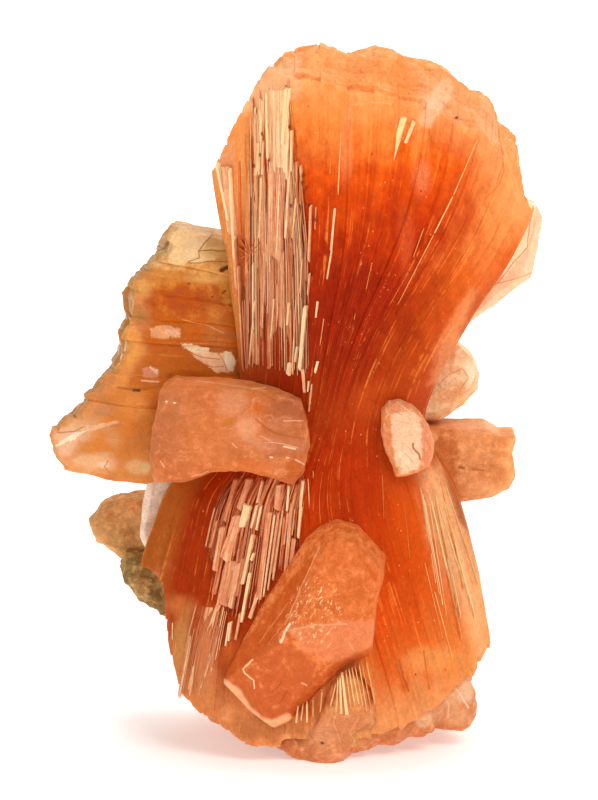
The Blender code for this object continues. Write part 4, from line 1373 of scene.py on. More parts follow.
# The bow-tie sheaf and the wing that crosses behind it

sheaf = Sheaf((SHEAF_LEFT, SHEAF_RIGHT), (SHEAF_FRONT, SHEAF_BACK), SHEAF_GIRTH, upright)
# In millimetres: the widths of blades and layers, the sheaf's span and depth, and how far its ends and faces
# step, sink in grooves and swell.
sheaf_sizes = {
    "blade": (0.35, 1.5), "span": 36, "layer": 1.15, "depth": 20, "stations": 54, "step": 0.2,
    "fine_step": 0.05, "ledge": 0.12, "lump": 0.7, "fine_relief": 0.03, "groove": 0.008, "waist": WAIST,
    "fade": 16, "swell": 0.22,
}
bow_tie = blade_block("bow_tie", sheaf, (LOWER_BLADES, LOWER_FRONT, LOWER_CAP, LOWER_DOME),
                      (UPPER_BLADES, UPPER_FRONT, UPPER_CAP, UPPER_DOME), SHEAF_LAYERS, sheaf_sizes,
                      SHEAF_SEED, warp=(WARP_TOP, WARP_WAIST), floor=0.0)
shade(bow_tie, 35)
dress(bow_tie, sheaf_paint(), "orange_stilbite", "bow_tie_sheaf")

wing_space = Sheaf((WING_LOW, WING_TOP), (WING_FRONT, WING_BACK), WING_GIRTH, lying)
wing_sizes = {
    "blade": (0.5, 1.8), "span": 26, "layer": 1.4, "depth": 10, "stations": 30, "step": 0.4,
    "fine_step": 0.1, "ledge": 0.0, "lump": 0.9, "fine_relief": 0.04, "groove": 0.01, "waist": -20.0,
    "fade": 30, "swell": 0.55,
}
wing = blade_block("crossing_wing", wing_space, WING_ROOT, (WING_BLADES, WING_CAP, WING_CAP, WING_DOME),
                   WING_LAYERS, wing_sizes, WING_SEED)
shade(wing, 35)
dress(wing, wing_paint(), "orange_stilbite", "bow_tie_sheaf")


# The first guess of the sheaf's front and how often it is improved, and over how many pixels its facing is
# measured.
FRONT_GUESS = -8.0
GUESSES = 6
FACING_REACH = 8


def at_depth(column, row, y):
    """The place that the photograph shows at a pixel, for something at a known depth."""
    x, up = on_picture(column, row)
    near = nearness(y, up)
    left, _, level = CAMERA_TARGET
    return np.array([(x - left) / near + left, y, (up - level) / near + level - y * DEPTH_AS_HEIGHT])


def seen_at(column, row):
    """The place on the sheaf's front that the photograph shows at a pixel, found by a few better guesses of
    its depth."""
    y = FRONT_GUESS
    for _ in range(GUESSES):
        x, _, z = at_depth(column, row, y)
        y = sheaf.place(sheaf.share_across(x, z), 0.0, z)[1]
    return at_depth(column, row, y)


def facing(column, row):
    """The way that the sheaf's front faces at a pixel, from the places a few columns left and right of it."""
    left, right = seen_at(column - FACING_REACH, row), seen_at(column + FACING_REACH, row)
    way = np.array([(right[1] - left[1]) / (right[0] - left[0]), -1.0, 0.0])
    return way / np.linalg.norm(way)


def between(start, end, share):
    """A point on the line from start to end."""
    return mix(np.array(start, float), np.array(end, float), share)


# The left and right edge that the upper strip's lines follow, as heights and x.
UPPER_EDGES = [((38, 61, 68), (-7.5, -7.5, -8.0)), ((38, 51, 61, 68), (-1.0, -1.3, -2.2, -2.8))]


def upper_line(share, along):
    """Lines of the upper pearly strip: nearly upright, and a little wider apart at the foot."""
    left, right = (np.interp(along, *edge) for edge in UPPER_EDGES)
    return mix(left, right, share)


def spread_lines(first, last):
    """Lines that spread with the lower fan, between two shares of its width."""
    def line(share, along):
        return mix(at(sheaf.start, along), at(sheaf.end, along), mix(first, last, share))

    return line


# The strips of pearly splinters: left and right edge, as (height, x), and their shades by height.
PEARL_UPPER = ([(38.0, -7.8), (45, -7.7), (49, -7.1), (62, -7.0), (65, -6.8), (66.4, -6.4), (67.6, -5.8),
                (68, -5.4)],
               [(38.0, -0.9), (51, -1.1), (56, -1.2), (58, -2.4), (68, -2.7)])
PEARL_LOWER = ([(14.3, -10.6), (16.5, -10.8), (17.5, -10.2), (20.5, -11.4), (22, -10.6), (27.8, -8.4)],
               [(14.3, -7.4), (15.4, -6.2), (17, -5.0), (18.5, -4.6), (18.6, -2.8), (21, -2.2), (27.8, -1.2)])
PEARL_FOOT = ([(5.0, -14.6), (10.3, -13.0), (14.9, -12.4)], [(5.0, -12.0), (10.3, -10.2), (14.9, -8.6)])
UPPER_TONES = smooth_curve([(38, 0.52), (45, 0.6), (52, 0.7), (58, 0.8), (68, 0.9)])
LOWER_TONES = smooth_curve([(14, 0.34), (21, 0.38), (28, 0.28)])
FOOT_TONES = smooth_curve([(5, 0.62), (15, 0.56)])
PARTINGS = smooth_curve([(38, 0.2), (54, 0.3), (68, 0.55)])

# Splinters of their own: foot and tip as the photograph's pixels, width, shade, lift and warmth.
UPPER_PLATES = [
    ((277, 170), (277, 88), 2.9, 0.84, 0.17, 0.1), ((275, 262), (277, 160), 2.7, 0.55, 0.14, 0.0),
    ((257, 178), (262, 97), 1.1, 0.78, 0.15, 0.3), ((286, 176), (288, 88), 0.8, 1.02, 0.2, 0.4),
    ((271, 236), (272, 150), 0.7, 0.62, 0.17, 0.1), ((262, 330), (265, 250), 0.6, 0.66, 0.14, 0.0),
    ((281, 330), (283, 250), 0.7, 0.6, 0.14, 0.0), ((274, 372), (275, 252), 2.5, 0.55, 0.06, 0.0),
    ((260, 372), (262, 170), 1.2, 0.55, 0.05, 0.0), ((290, 240), (292, 160), 1.0, 0.55, 0.05, 0.1),
    ((255, 372), (254, 106), 0.9, 0.6, 0.05, 0.4), ((289, 372), (290, 240), 0.9, 0.4, 0.05, 0.1),
    ((247, 372), (247, 124), 0.8, 0.45, 0.03, 0.6), ((284, 146), (288, 88), 0.5, 1.1, 0.4, 0.4),
    ((287, 128), (291, 88), 0.25, 1.0, 0.42, 0.4), ((269, 160), (268, 92), 0.3, 1.0, 0.37, 0.2),
    ((276, 172), (276, 100), 0.16, 1.0, 0.37, 0.1), ((292, 172), (293, 130), 0.35, 0.85, 0.3, 0.3),
    ((288, 180), (290, 132), 0.2, 1.0, 0.4, 0.1), ((286, 240), (290, 168), 0.35, 0.85, 0.2, 0.0),
    ((277, 262), (281, 172), 0.2, 0.85, 0.2, 0.1), ((264, 136), (265, 96), 0.16, 0.9, 0.18, 0.4),
    ((260, 130), (261, 98), 0.16, 0.85, 0.18, 0.4), ((256, 160), (256, 106), 0.2, 0.85, 0.18, 0.4),
    ((252, 200), (251, 116), 0.14, 0.8, 0.14, 0.5), ((258, 172), (259, 142), 0.4, 0.8, 0.22, 0.5),
    ((263, 176), (264, 140), 0.3, 0.85, 0.22, 0.4), ((260, 240), (262, 176), 0.3, 0.75, 0.2, 0.3),
    ((254, 330), (254, 262), 0.25, 0.9, 0.24, 0.1), ((250, 366), (256, 300), 0.2, 0.9, 0.24, 0.1),
    ((272, 340), (275, 298), 0.25, 0.85, 0.22, 0.0), ((288, 326), (290, 302), 0.3, 0.85, 0.24, 0.0),
    ((293, 375), (297, 296), 0.2, 0.8, 0.2, 0.0), ((301, 294), (303, 258), 0.2, 0.7, 0.24, 0.4),
    ((308, 296), (310, 273), 0.16, 0.7, 0.2, 0.4), ((300, 371), (306, 305), 0.45, 0.95, 0.3, 0.1),
    ((296, 362), (298, 346), 0.2, 1.0, 0.3, 0.0), ((316, 318), (318, 301), 0.28, 0.85, 0.2, 0.1),
    ((289, 375), (291, 362), 0.6, 1.0, 0.3, 0.0), ((315, 373), (318, 361), 0.35, 1.0, 0.24, 0.1),
    ((305, 393), (303, 369), 0.3, 0.9, 0.28, 0.1), ((308, 392), (309, 381), 0.2, 0.95, 0.24, 0.1),
    ((311, 398), (312, 384), 0.2, 0.8, 0.2, 0.1), ((297, 204), (297, 161), 0.3, 0.6, 0.14, 0.3),
    ((301, 206), (301, 165), 0.35, 0.62, 0.12, 0.3), ((293, 240), (297, 197), 0.24, 0.7, 0.22, 0.5),
    ((299, 250), (302, 207), 0.14, 0.5, 0.12, 0.7), ((309, 262), (311, 205), 0.24, 0.75, 0.24, 0.3),
    ((315, 230), (316, 207), 0.14, 0.7, 0.1, 0.5), ((327, 280), (332, 250), 0.26, 0.75, 0.15, 0.2),
    ((331, 252), (335, 208), 0.34, 0.75, 0.2, 0.1), ((320, 346), (324, 318), 0.16, 0.6, 0.12, 0.4),
    ((309, 412), (311, 392), 0.24, 0.7, 0.2, 0.2),
]
EDGE_PLATES = [
    ((232, 236), (223, 166), 1.5, 0.68, 0.1, 0.1), ((229, 222), (217, 163), 0.45, 1.1, 0.18, 0.3),
    ((235, 262), (230, 168), 0.4, 1.05, 0.18, 0.3), ((237, 290), (233, 226), 0.4, 0.7, 0.16, 0.2),
    ((244, 372), (238, 266), 0.25, 0.6, 0.16, 0.2), ((247, 372), (243, 300), 0.2, 0.45, 0.14, 0.2),
    ((225, 214), (222, 168), 0.2, 0.55, 0.16, 0.0), ((246, 240), (246, 130), 0.3, 0.35, 0.05, 1.0),
    ((240, 236), (239, 160), 0.3, 0.3, 0.05, 1.0),
]
LOWER_PLATES = [
    ((240, 510), (251, 478), 0.9, 0.6, 0.35, 0.0), ((225, 522), (237, 478), 0.7, 0.42, 0.25, 0.0),
    ((258, 503), (264, 480), 0.4, 0.75, 0.4, 0.0), ((277, 510), (281, 483), 1.0, 0.62, 0.5, 0.0),
    ((287, 511), (289, 484), 0.3, 0.95, 0.45, 0.1), ((300, 508), (303, 480), 0.45, 0.85, 0.4, 0.1),
    ((310, 522), (308, 478), 0.16, 0.7, 0.2, 0.5), ((315, 512), (313, 470), 0.14, 0.6, 0.15, 0.6),
    ((243, 527), (249, 504), 0.9, 1.0, 0.55, 0.1), ((225, 560), (240, 514), 1.4, 0.62, 0.5, 0.0),
    ((252, 528), (258, 504), 0.35, 0.9, 0.5, 0.0), ((257, 530), (262, 505), 0.35, 0.85, 0.45, 0.0),
    ((259, 599), (270, 512), 0.8, 0.55, 0.55, 0.0), ((264, 596), (275, 514), 0.3, 0.85, 0.6, 0.1),
    ((268, 590), (279, 512), 0.3, 0.6, 0.5, 0.0), ((273, 580), (283, 510), 0.3, 0.6, 0.45, 0.0),
    ((243, 584), (254, 534), 0.5, 0.85, 0.5, 0.1), ((298, 538), (301, 506), 0.45, 0.8, 0.55, 0.3),
    ((289, 577), (294, 538), 0.5, 0.6, 0.5, 0.1), ((284, 545), (288, 512), 0.3, 0.55, 0.4, 0.0),
    ((292, 535), (295, 508), 0.2, 0.6, 0.45, 0.1), ((252, 560), (255, 552), 0.4, 1.0, 0.55, 0.1),
    ((242, 622), (251, 572), 0.4, 0.95, 0.5, 0.3), ((250, 618), (260, 588), 0.5, 0.8, 0.5, 0.1),
    ((231, 608), (240, 562), 0.7, 0.6, 0.45, 0.0), ((216, 571), (224, 526), 0.8, 0.6, 0.4, 0.0),
    ((221, 600), (229, 560), 0.5, 0.5, 0.35, 0.0), ((229, 641), (232, 621), 0.25, 0.95, 0.3, 0.3),
    ((236, 640), (241, 612), 0.4, 0.55, 0.35, 0.0), ((211, 548), (218, 520), 0.5, 0.4, 0.25, 0.0),
    ((273, 612), (277, 596), 0.25, 0.8, 0.3, 0.2), ((222, 606), (232, 560), 1.8, 0.6, 0.2, 0.0),
    ((234, 598), (243, 556), 1.6, 0.58, 0.2, 0.0),
]
LONE_LINES = [
    ((389, 166), (404, 117), 0.9, 0.98, 0.12, 0.9), ((405, 144), (414, 121), 0.5, 0.9, 0.12, 0.3),
    ((433, 131), (443, 116), 0.45, 1.0, 0.14, 0.5), ((453, 196), (478, 138), 0.16, 0.6, 0.06, 1.0),
    ((434, 234), (453, 196), 0.16, 0.8, 0.07, 1.0), ((397, 306), (434, 234), 0.12, 0.6, 0.05, 1.0),
    ((444, 153), (450, 138), 0.14, 0.6, 0.05, 1.0), ((401, 258), (430, 190), 0.1, 0.5, 0.05, 1.0),
    ((413, 258), (424, 227), 0.12, 0.6, 0.05, 1.0), ((343, 399), (376, 314), 0.12, 0.6, 0.05, 1.0),
    ((338, 197), (341, 131), 0.16, 0.6, 0.08, 0.8), ((355, 192), (357, 170), 0.2, 0.8, 0.1, 0.8),
    ((349, 146), (350, 112), 0.25, 0.5, 0.06, 0.9), ((384, 182), (387, 179), 0.3, 0.9, 0.08, 0.9),
    ((366, 290), (372, 262), 0.1, 0.5, 0.05, 1.0), ((352, 330), (358, 300), 0.1, 0.5, 0.05, 1.0),
    ((386, 352), (398, 318), 0.12, 0.5, 0.05, 1.0), ((420, 300), (437, 262), 0.12, 0.5, 0.05, 1.0),
    ((458, 226), (472, 196), 0.12, 0.5, 0.05, 1.0), ((330, 176), (332, 120), 0.12, 0.4, 0.05, 1.0),
    ((371, 240), (379, 196), 0.12, 0.45, 0.05, 1.0), ((436, 176), (442, 160), 0.12, 0.5, 0.05, 1.0),
    ((453, 662), (434, 590), 0.13, 0.6, 0.05, 1.0), ((404, 672), (396, 636), 0.16, 0.5, 0.05, 1.0),
    ((443, 640), (424, 560), 0.1, 0.5, 0.04, 1.0), ((462, 640), (446, 566), 0.12, 0.55, 0.05, 1.0),
    ((448, 560), (432, 486), 0.12, 0.5, 0.05, 1.0), ((455, 545), (440, 480), 0.14, 0.6, 0.05, 1.0),
    ((464, 590), (452, 530), 0.14, 0.6, 0.05, 0.9), ((424, 520), (418, 470), 0.1, 0.4, 0.04, 1.0),
    ((410, 560), (404, 500), 0.1, 0.35, 0.04, 1.0), ((384, 520), (382, 470), 0.1, 0.3, 0.04, 1.0),
    ((346, 520), (346, 460), 0.1, 0.3, 0.04, 1.0), ((430, 690), (424, 650), 0.14, 0.5, 0.05, 1.0),
    ((190, 694), (211, 604), 1.3, 0.64, 0.16, 0.2), ((203, 650), (220, 602), 0.8, 0.64, 0.16, 0.1),
    ((200, 690), (210, 640), 0.3, 0.8, 0.16, 0.2), ((201, 690), (219, 634), 0.2, 0.85, 0.18, 0.2),
    ((192, 684), (200, 620), 0.25, 0.7, 0.1, 0.4), ((188, 690), (192, 660), 0.2, 0.7, 0.1, 0.6),
    ((226, 646), (230, 622), 0.28, 1.0, 0.26, 0.2), ((224, 646), (227, 622), 0.16, 0.0, 0.12, 0.0),
    ((173, 640), (173, 622), 0.2, 0.9, 0.1, 0.5), ((236, 640), (241, 612), 0.3, 0.6, 0.2, 0.2),
]
# Hairlines that spread in the right half of the lower fan.
RIGHT_FAN = [
    ((436 + 3.6 * n, 586 + 11 * (n % 4)), (420 + 2.1 * n, 484 + 7 * (n % 3)), 0.09 + 0.02 * (n % 3),
     0.9, 0.04, 0.6)
    for n in range(13)
]

# The small fan at the foot, whose lines spread downwards from under the block.
FOOT_LINES = [
    ((330, 706), (336, 682), 0.3, 0.6, 0.0, 0.6), ((336, 712), (338, 678), 0.3, 0.75, 0.0, 0.7),
    ((341, 714), (340, 676), 0.35, 0.9, 0.06, 0.6), ((347, 715), (342, 673), 0.45, 1.0, 0.1, 0.6),
    ((351, 708), (346, 671), 0.2, 0.85, 0.08, 0.7), ((355, 706), (349, 669), 0.2, 0.9, 0.06, 0.7),
    ((359, 704), (352, 668), 0.2, 0.8, 0.05, 0.8), ((363, 706), (355, 666), 0.2, 0.6, 0.02, 0.8),
    ((367, 712), (359, 664), 0.2, 0.7, 0.02, 0.8), ((371, 708), (362, 662), 0.18, 0.55, 0.0, 0.9),
    ((375, 704), (366, 660), 0.2, 0.65, 0.0, 0.9), ((296, 722), (298, 706), 0.25, 0.9, 0.1, 0.5),
    ((301, 720), (303, 704), 0.2, 0.8, 0.08, 0.6), ((307, 722), (307, 702), 0.25, 0.95, 0.1, 0.5),
    ((313, 716), (313, 698), 0.2, 0.6, 0.05, 0.7), ((320, 712), (322, 690), 0.2, 0.7, 0.05, 0.7),
]
# How far forward the foot fan's lines lie, and how far they stand in front of that.
FOOT_LINE_DEPTH = -12.6
FOOT_LINE_LIFT = 0.35
# Fine lines that spread from one point in the strip's left edge, and the dark pits near its right edge.
SPRAY_FROM = (249, 254)
SPRAY = [
    (241, 240), (245, 238), (250, 236), (255, 239), (260, 243), (263, 249), (238, 247), (241, 258),
    (246, 262),
]
PITS = [
    (289, 127), (262, 134), (303, 176), (302, 183), (306, 188), (291, 206), (308, 206), (315, 220),
    (269, 160), (260, 155), (254, 166),
]
PIT_REACH = 1.6
# Strips of fine splinters: region, lines, heights, how many, widths, lengths, shades, lifts and warmth.
STRIPS = [
    (PEARL_UPPER, upper_line, (38.0, 59.0), 140, (0.05, 0.17), (4, 16), UPPER_TONES, (0.08, 0.2), (0, 0.4)),
    (PEARL_UPPER, upper_line, (38.0, 66.0), 34, (0.03, 0.05), (4, 15), PARTINGS, (0.19, 0.21), (0, 0.2)),
    (PEARL_UPPER, upper_line, (58.0, 67.3), 14, (0.06, 0.16), (3, 8), UPPER_TONES, (0.14, 0.24), (0, 0.4)),
    (PEARL_LOWER, spread_lines(0.09, 0.47), (14.3, 27.8), 170, (0.08, 0.42), (2.5, 9),
     LOWER_TONES, (0.06, 0.32), (0, 0.2)),
    (PEARL_FOOT, spread_lines(0.17, 0.28), (5.9, 14.9), 40, (0.1, 0.35), (4, 8.4), FOOT_TONES, (0.12, 0.3),
     (0, 0.3)),
]


pearl = Splinters(SPLINTER_SEED)
for foot_seen, tip_seen, width, tone, lift, warm in FOOT_LINES:
    path = [at_depth(*between(foot_seen, tip_seen, share), FOOT_LINE_DEPTH) for share in (0, 0.5, 1)]
    pearl.add(path, width, lift + FOOT_LINE_LIFT, tone, taper=(1.0, 0.7), depth=0.9, warm=warm)
for end in SPRAY:
    pearl.add([seen_at(*SPRAY_FROM), seen_at(*end)], 0.09, 0.22, 0.3, warm=0.6)
for column, row in PITS:
    pearl.add([seen_at(column, row + PIT_REACH), seen_at(column, row - PIT_REACH)], 0.2, 0.34, -0.5)
for region, line, heights, count, widths, lengths, tones, lifts, warms in STRIPS:
    strip(pearl, sheaf, region, line, heights, count, widths, lengths, tones, lifts, warms)
for foot_seen, tip_seen, width, tone, lift, warm in (
    UPPER_PLATES + EDGE_PLATES + LOWER_PLATES + LONE_LINES + RIGHT_FAN
):
    path = [seen_at(*between(foot_seen, tip_seen, share)) for share in np.linspace(0, 1, PATH_POINTS)]
    slant = pearl.chance.uniform(-0.5, 0.5)
    pearl.add(path, width, lift, tone, slant=slant, taper=(0.85, 1.0), warm=warm,
              normal=facing(*between(foot_seen, tip_seen, 0.5)))
splinters = pearl.finish("pearly_splinters")
dress(splinters, pearl_paint(), "orange_stilbite", "bow_tie_sheaf")

# Crystals seated on the sheaf, and those that grow out of its waist, edges and foot


def worn_crystal(name, rings, voxel, wear, finish, slot, node):
    """A crystal from its rings, worn and dressed."""
    solid = ring_solid(name, rings)
    roughen(solid, voxel, *wear)
    dress(solid, finish, slot, node)


CROSS_PATCHES = [
    (174, 420, 18, 50, (0.54, 0.17, 0.06), 0.6), (206, 440, 30, 36, (0.64, 0.185, 0.045), 0.6),
    (232, 400, 16, 22, (0.74, 0.3, 0.135), 0.7), (246, 428, 16, 16, (0.79, 0.34, 0.165), 0.8),
    (270, 444, 24, 10, (0.67, 0.26, 0.13), 0.8), (296, 446, 14, 8, (0.6, 0.23, 0.115), 0.7),
    (286, 430, 26, 36, (0.44, 0.125, 0.042), 0.55), (290, 412, 20, 18, (0.44, 0.115, 0.04), 0.8),
    (280, 424, 16, 8, (0.62, 0.21, 0.09), 0.5), (250, 468, 40, 8, (0.68, 0.18, 0.04), 0.7),
    (215, 386, 44, 8, (0.62, 0.17, 0.035), 0.6), (231, 422, 7, 5, (0.58, 0.19, 0.025), 0.85),
    (258, 408, 7, 6, (0.62, 0.13, 0.018), 0.8), (294, 468, 14, 12, (0.54, 0.11, 0.018), 0.8),
]
CROSS_LINES = [
    ([(258, 418), (267, 426), (280, 431), (295, 435), (307, 437)], 1.8, (0.4, 0.09, 0.02), 0.6),
    ([(286, 444), (297, 447)], 1.8, (0.95, 0.64, 0.4), 0.8),
    ([(286, 419), (305, 419)], 1.2, (0.9, 0.5, 0.28), 0.6),
    ([(270, 440), (284, 441), (300, 446)], 0.9, (0.92, 0.52, 0.3), 0.6),
    ([(262, 434), (272, 438)], 0.9, (0.9, 0.48, 0.28), 0.5),
    ([(182, 448), (200, 448)], 1.0, (0.5, 0.11, 0.02), 0.5),
    ([(184, 431), (206, 432)], 1.0, (0.54, 0.13, 0.03), 0.5),
    ([(298, 458), (306, 462)], 1.6, (0.94, 0.6, 0.4), 0.7),
    ([(272.5, 456), (274, 456)], 1.8, (0.97, 0.76, 0.54), 0.8),
    ([(288.4, 456), (290, 456)], 1.6, (0.96, 0.68, 0.46), 0.8),
    ([(168, 400), (169.4, 400)], 1.6, (0.96, 0.74, 0.54), 0.8),
    ([(176.4, 401), (178, 401)], 1.6, (0.96, 0.74, 0.54), 0.8),
    ([(234, 441), (239, 446)], 1.2, (0.9, 0.5, 0.3), 0.6),
    ([(254, 387), (267, 385)], 1.2, (0.92, 0.56, 0.32), 0.7),
    ([(194, 475), (210, 470)], 1.2, (0.9, 0.5, 0.28), 0.5),
    ([(162, 459), (166, 465)], 1.0, (0.92, 0.56, 0.36), 0.7),
    # A painted sheen along the top edge.
    ([(200, 379), (240, 384), (268, 389)], 1.4, (0.86, 0.4, 0.18), 0.5),
]
cross_paint = matte_paint("frosted peach stilbite", (0.66, 0.205, 0.062), (0.57, 0.145, 0.034),
                          (0.76, 0.3, 0.14), lines=0.35, patches=CROSS_PATCHES, strokes=CROSS_LINES,
                          contrast=0.8)
worn_crystal("cross_crystal", pillow_rings(CROSS_CRYSTAL, **CROSS_DEPTHS), 0.16,
             [("CLOUDS", 3.4, 0.55), ("CLOUDS", 0.9, 0.1), ("VORONOI", 0.9, 0.05)],
             cross_paint, "peach_stilbite", "front_cross_crystal")


def block_ring(points, y):
    return [(x, y - BLOCK_LEAN * (z - BLOCK_MIDDLE), z) for x, z in points]


def crisp(solid, width):
    """Bevels a solid's edges a little, so that its facets meet in a worn edge."""
    apply_modifier(solid, "BEVEL", width=width * MM, segments=2, limit_method="ANGLE",
                   angle_limit=math.radians(12))


block = ring_solid("block_crystal", [block_ring(BLOCK_FACE, BLOCK_DEPTHS["face"]),
                                     block_ring(BLOCK_RIM, BLOCK_DEPTHS["rim"]),
                                     block_ring(BLOCK_RIM, BLOCK_DEPTHS["back"])])
crisp(block, 0.22)
roughen(block, 0.13, ("CLOUDS", 1.6, 0.12), ("VORONOI", 0.6, 0.05))
dress(block, block_paint(), "peach_stilbite", "front_block_crystal")

WAIST_FACETS = [
    ([(378, 398), (400, 396), (426, 416), (434, 440), (432, 462), (424, 480), (396, 480), (384, 446)],
     (0.78, 0.24, 0.07), 0.7, 0.2),
    ([(420, 414), (430, 424), (433, 456), (424, 474), (421, 440)], (0.74, 0.25, 0.12), 0.8, 0.12),
    ([(391, 414), (413, 412), (420, 419), (422, 436), (422, 454), (420, 469), (401, 475), (395, 462),
     (391, 440)], (0.87, 0.53, 0.32), 0.95, 0.14),
    ([(399, 450), (418, 456), (419, 468), (403, 473)], (0.93, 0.64, 0.42), 0.7, 0.15),
    ([(384, 400), (400, 400), (414, 411), (392, 412)], (0.7, 0.27, 0.12), 0.7, 0.12),
]
WAIST_LINES = [
    ([(415, 442), (415.5, 446), (420.5, 452), (422, 458)], 1.8, (0.34, 0.13, 0.05), 0.9),
    ([(425, 422), (427, 440), (425, 460)], 1.4, (0.62, 0.22, 0.09), 0.6),
    ([(402, 448), (412, 456), (418, 466)], 0.9, (0.74, 0.38, 0.2), 0.7),
    ([(401, 456), (410, 464), (415, 472)], 0.9, (0.74, 0.38, 0.2), 0.7),
    ([(404, 442), (413, 448)], 0.9, (0.76, 0.4, 0.22), 0.7),
    ([(396, 424), (404, 420), (410, 422)], 0.9, (0.74, 0.38, 0.2), 0.6),
    ([(398, 434), (406, 436), (412, 434)], 0.9, (0.76, 0.42, 0.24), 0.6),
    ([(393, 407), (404, 413)], 1.2, (0.6, 0.2, 0.08), 0.6),
    ([(399, 400), (410, 408), (424, 418)], 1.2, (0.93, 0.56, 0.36), 0.7),
]
waist_paint = matte_paint("rough cream stilbite", (0.84, 0.42, 0.2), (0.74, 0.27, 0.1), (0.96, 0.7, 0.46),
                          scale=1.6, lines=0.5, facets=WAIST_FACETS, strokes=WAIST_LINES, contrast=1.1,
                          run=(2.2, 0.6, 0.6))
worn_crystal("waist_piece", pillow_rings(WAIST_CRYSTAL, **WAIST_DEPTHS), 0.12,
             [("CLOUDS", 1.6, 0.35), ("VORONOI", 0.7, 0.12)], waist_paint, "cream_stilbite", "waist_crystal")

brown = matte_paint("brownish stilbite", (0.7, 0.36, 0.13), (0.54, 0.26, 0.085), (0.8, 0.46, 0.22),
                    contrast=1.3)
worn_crystal("lower_left_piece", pillow_rings(LOWER_LEFT_CRYSTAL, **LOWER_LEFT_DEPTHS), 0.18,
             [("CLOUDS", 1.8, 0.6), ("VORONOI", 0.7, 0.2)], brown, "peach_stilbite", "lower_left_crystal")

rock = matte_paint("green-brown matrix", (0.56, 0.32, 0.11), (0.26, 0.16, 0.05), (0.74, 0.52, 0.28),
                   scale=1.3, roughness=0.8, scatter=0.2, contrast=1.6)
worn_crystal("matrix_bit", slab_rings(MATRIX_REMNANT, **MATRIX_DEPTHS), 0.2,
             [("CLOUDS", 1.3, 0.8), ("VORONOI", 0.6, 0.3)], rock, "dark_matrix", "matrix_remnant")

REAR_PATCHES = [
    (474, 428, 22, 8, (0.92, 0.46, 0.24), 0.6), (478, 468, 20, 6, (0.66, 0.22, 0.06), 0.5),
    (486, 490, 26, 8, (0.92, 0.46, 0.2), 0.6), (446, 462, 20, 34, (0.64, 0.17, 0.035), 0.8),
]
REAR_LINES = [
    ([(461, 465), (466, 466)], 2.2, (0.4, 0.13, 0.03), 0.8),
    ([(474, 467), (484, 469)], 1.8, (0.46, 0.16, 0.04), 0.7),
]
rear_paint = matte_paint("rear peach stilbite", (0.84, 0.36, 0.13), (0.76, 0.28, 0.085), (0.93, 0.52, 0.28),
                         lines=0.4, patches=REAR_PATCHES, strokes=REAR_LINES)
KNOB_PATCHES = [(470, 372, 10, 16, (0.97, 0.76, 0.52), 0.7), (448, 398, 14, 8, (0.82, 0.38, 0.15), 0.6)]
KNOB_LINES = [
    ([(440, 384), (452, 372), (464, 366), (470, 376), (462, 388)], 1.6, (0.7, 0.3, 0.12), 0.7),
    ([(444, 398), (458, 396), (472, 388), (478, 374)], 1.4, (0.74, 0.34, 0.15), 0.6),
]
knob_paint = matte_paint("pale rear stilbite", (0.94, 0.59, 0.31), (0.88, 0.46, 0.21), (0.98, 0.76, 0.52),
                         lines=0.4, patches=KNOB_PATCHES, strokes=KNOB_LINES, swirl=1.2)
WEDGE_FACETS = [
    ([(520, 196), (536, 204), (528, 246), (500, 282), (486, 286), (510, 240)], (0.96, 0.8, 0.52), 0.8, 0.1),
    ([(536, 203), (546, 208), (544, 236), (537, 270), (524, 268), (530, 244)], (0.89, 0.56, 0.33), 0.8, 0.08),
    ([(500, 282), (537, 268), (524, 292), (484, 314), (466, 316), (480, 292)], (0.91, 0.58, 0.34), 0.7, 0.1),
]
WEDGE_LINES = [
    ([(535, 204), (529, 245), (499, 281), (486, 290)], 1.3, (0.62, 0.26, 0.1), 0.8),
    ([(499, 281), (520, 276), (536, 269)], 1.2, (0.66, 0.28, 0.12), 0.8),
    # The next two lines are painted highlights near the left edges.
    ([(520, 232), (527, 214)], 2.0, (0.98, 0.82, 0.58), 0.8),
    ([(494, 275), (502, 268)], 2.6, (0.98, 0.84, 0.6), 0.8),
]
wedge_paint = matte_paint("clear rear stilbite", (0.95, 0.6, 0.36), (0.92, 0.5, 0.27), (0.98, 0.74, 0.48),
                          lines=0.5, facets=WEDGE_FACETS, strokes=WEDGE_LINES, roughness=0.35, contrast=0.7)
FACET_PATCHES = [(150, 505, 8, 16, (0.9, 0.72, 0.58), 0.8), (158, 540, 8, 12, (0.52, 0.2, 0.06), 0.6)]
facet_paint = matte_paint("pale edge facet", (0.86, 0.66, 0.5), (0.74, 0.48, 0.3), (0.95, 0.8, 0.66),
                          patches=FACET_PATCHES, contrast=1.3)
for name, outline, front, back, edge_cut, finish in (
    ("right_block", RIGHT_BLOCK, 3.4, 10.6, 0.7, rear_paint),
    ("right_knob", RIGHT_KNOB, 4.2, 11.2, 1.2, knob_paint),
    ("right_wedge", RIGHT_WEDGE, 2.4, 8.4, 0.9, wedge_paint),
    ("pale_facet", PALE_FACET, 0.6, 6.4, 0.7, facet_paint),
):
    worn_crystal(name, slab_rings(outline, front, back, edge_cut), 0.16,
                 [("CLOUDS", 2.4, 0.22), ("VORONOI", 0.8, 0.06)], finish, "orange_stilbite", "bow_tie_sheaf")

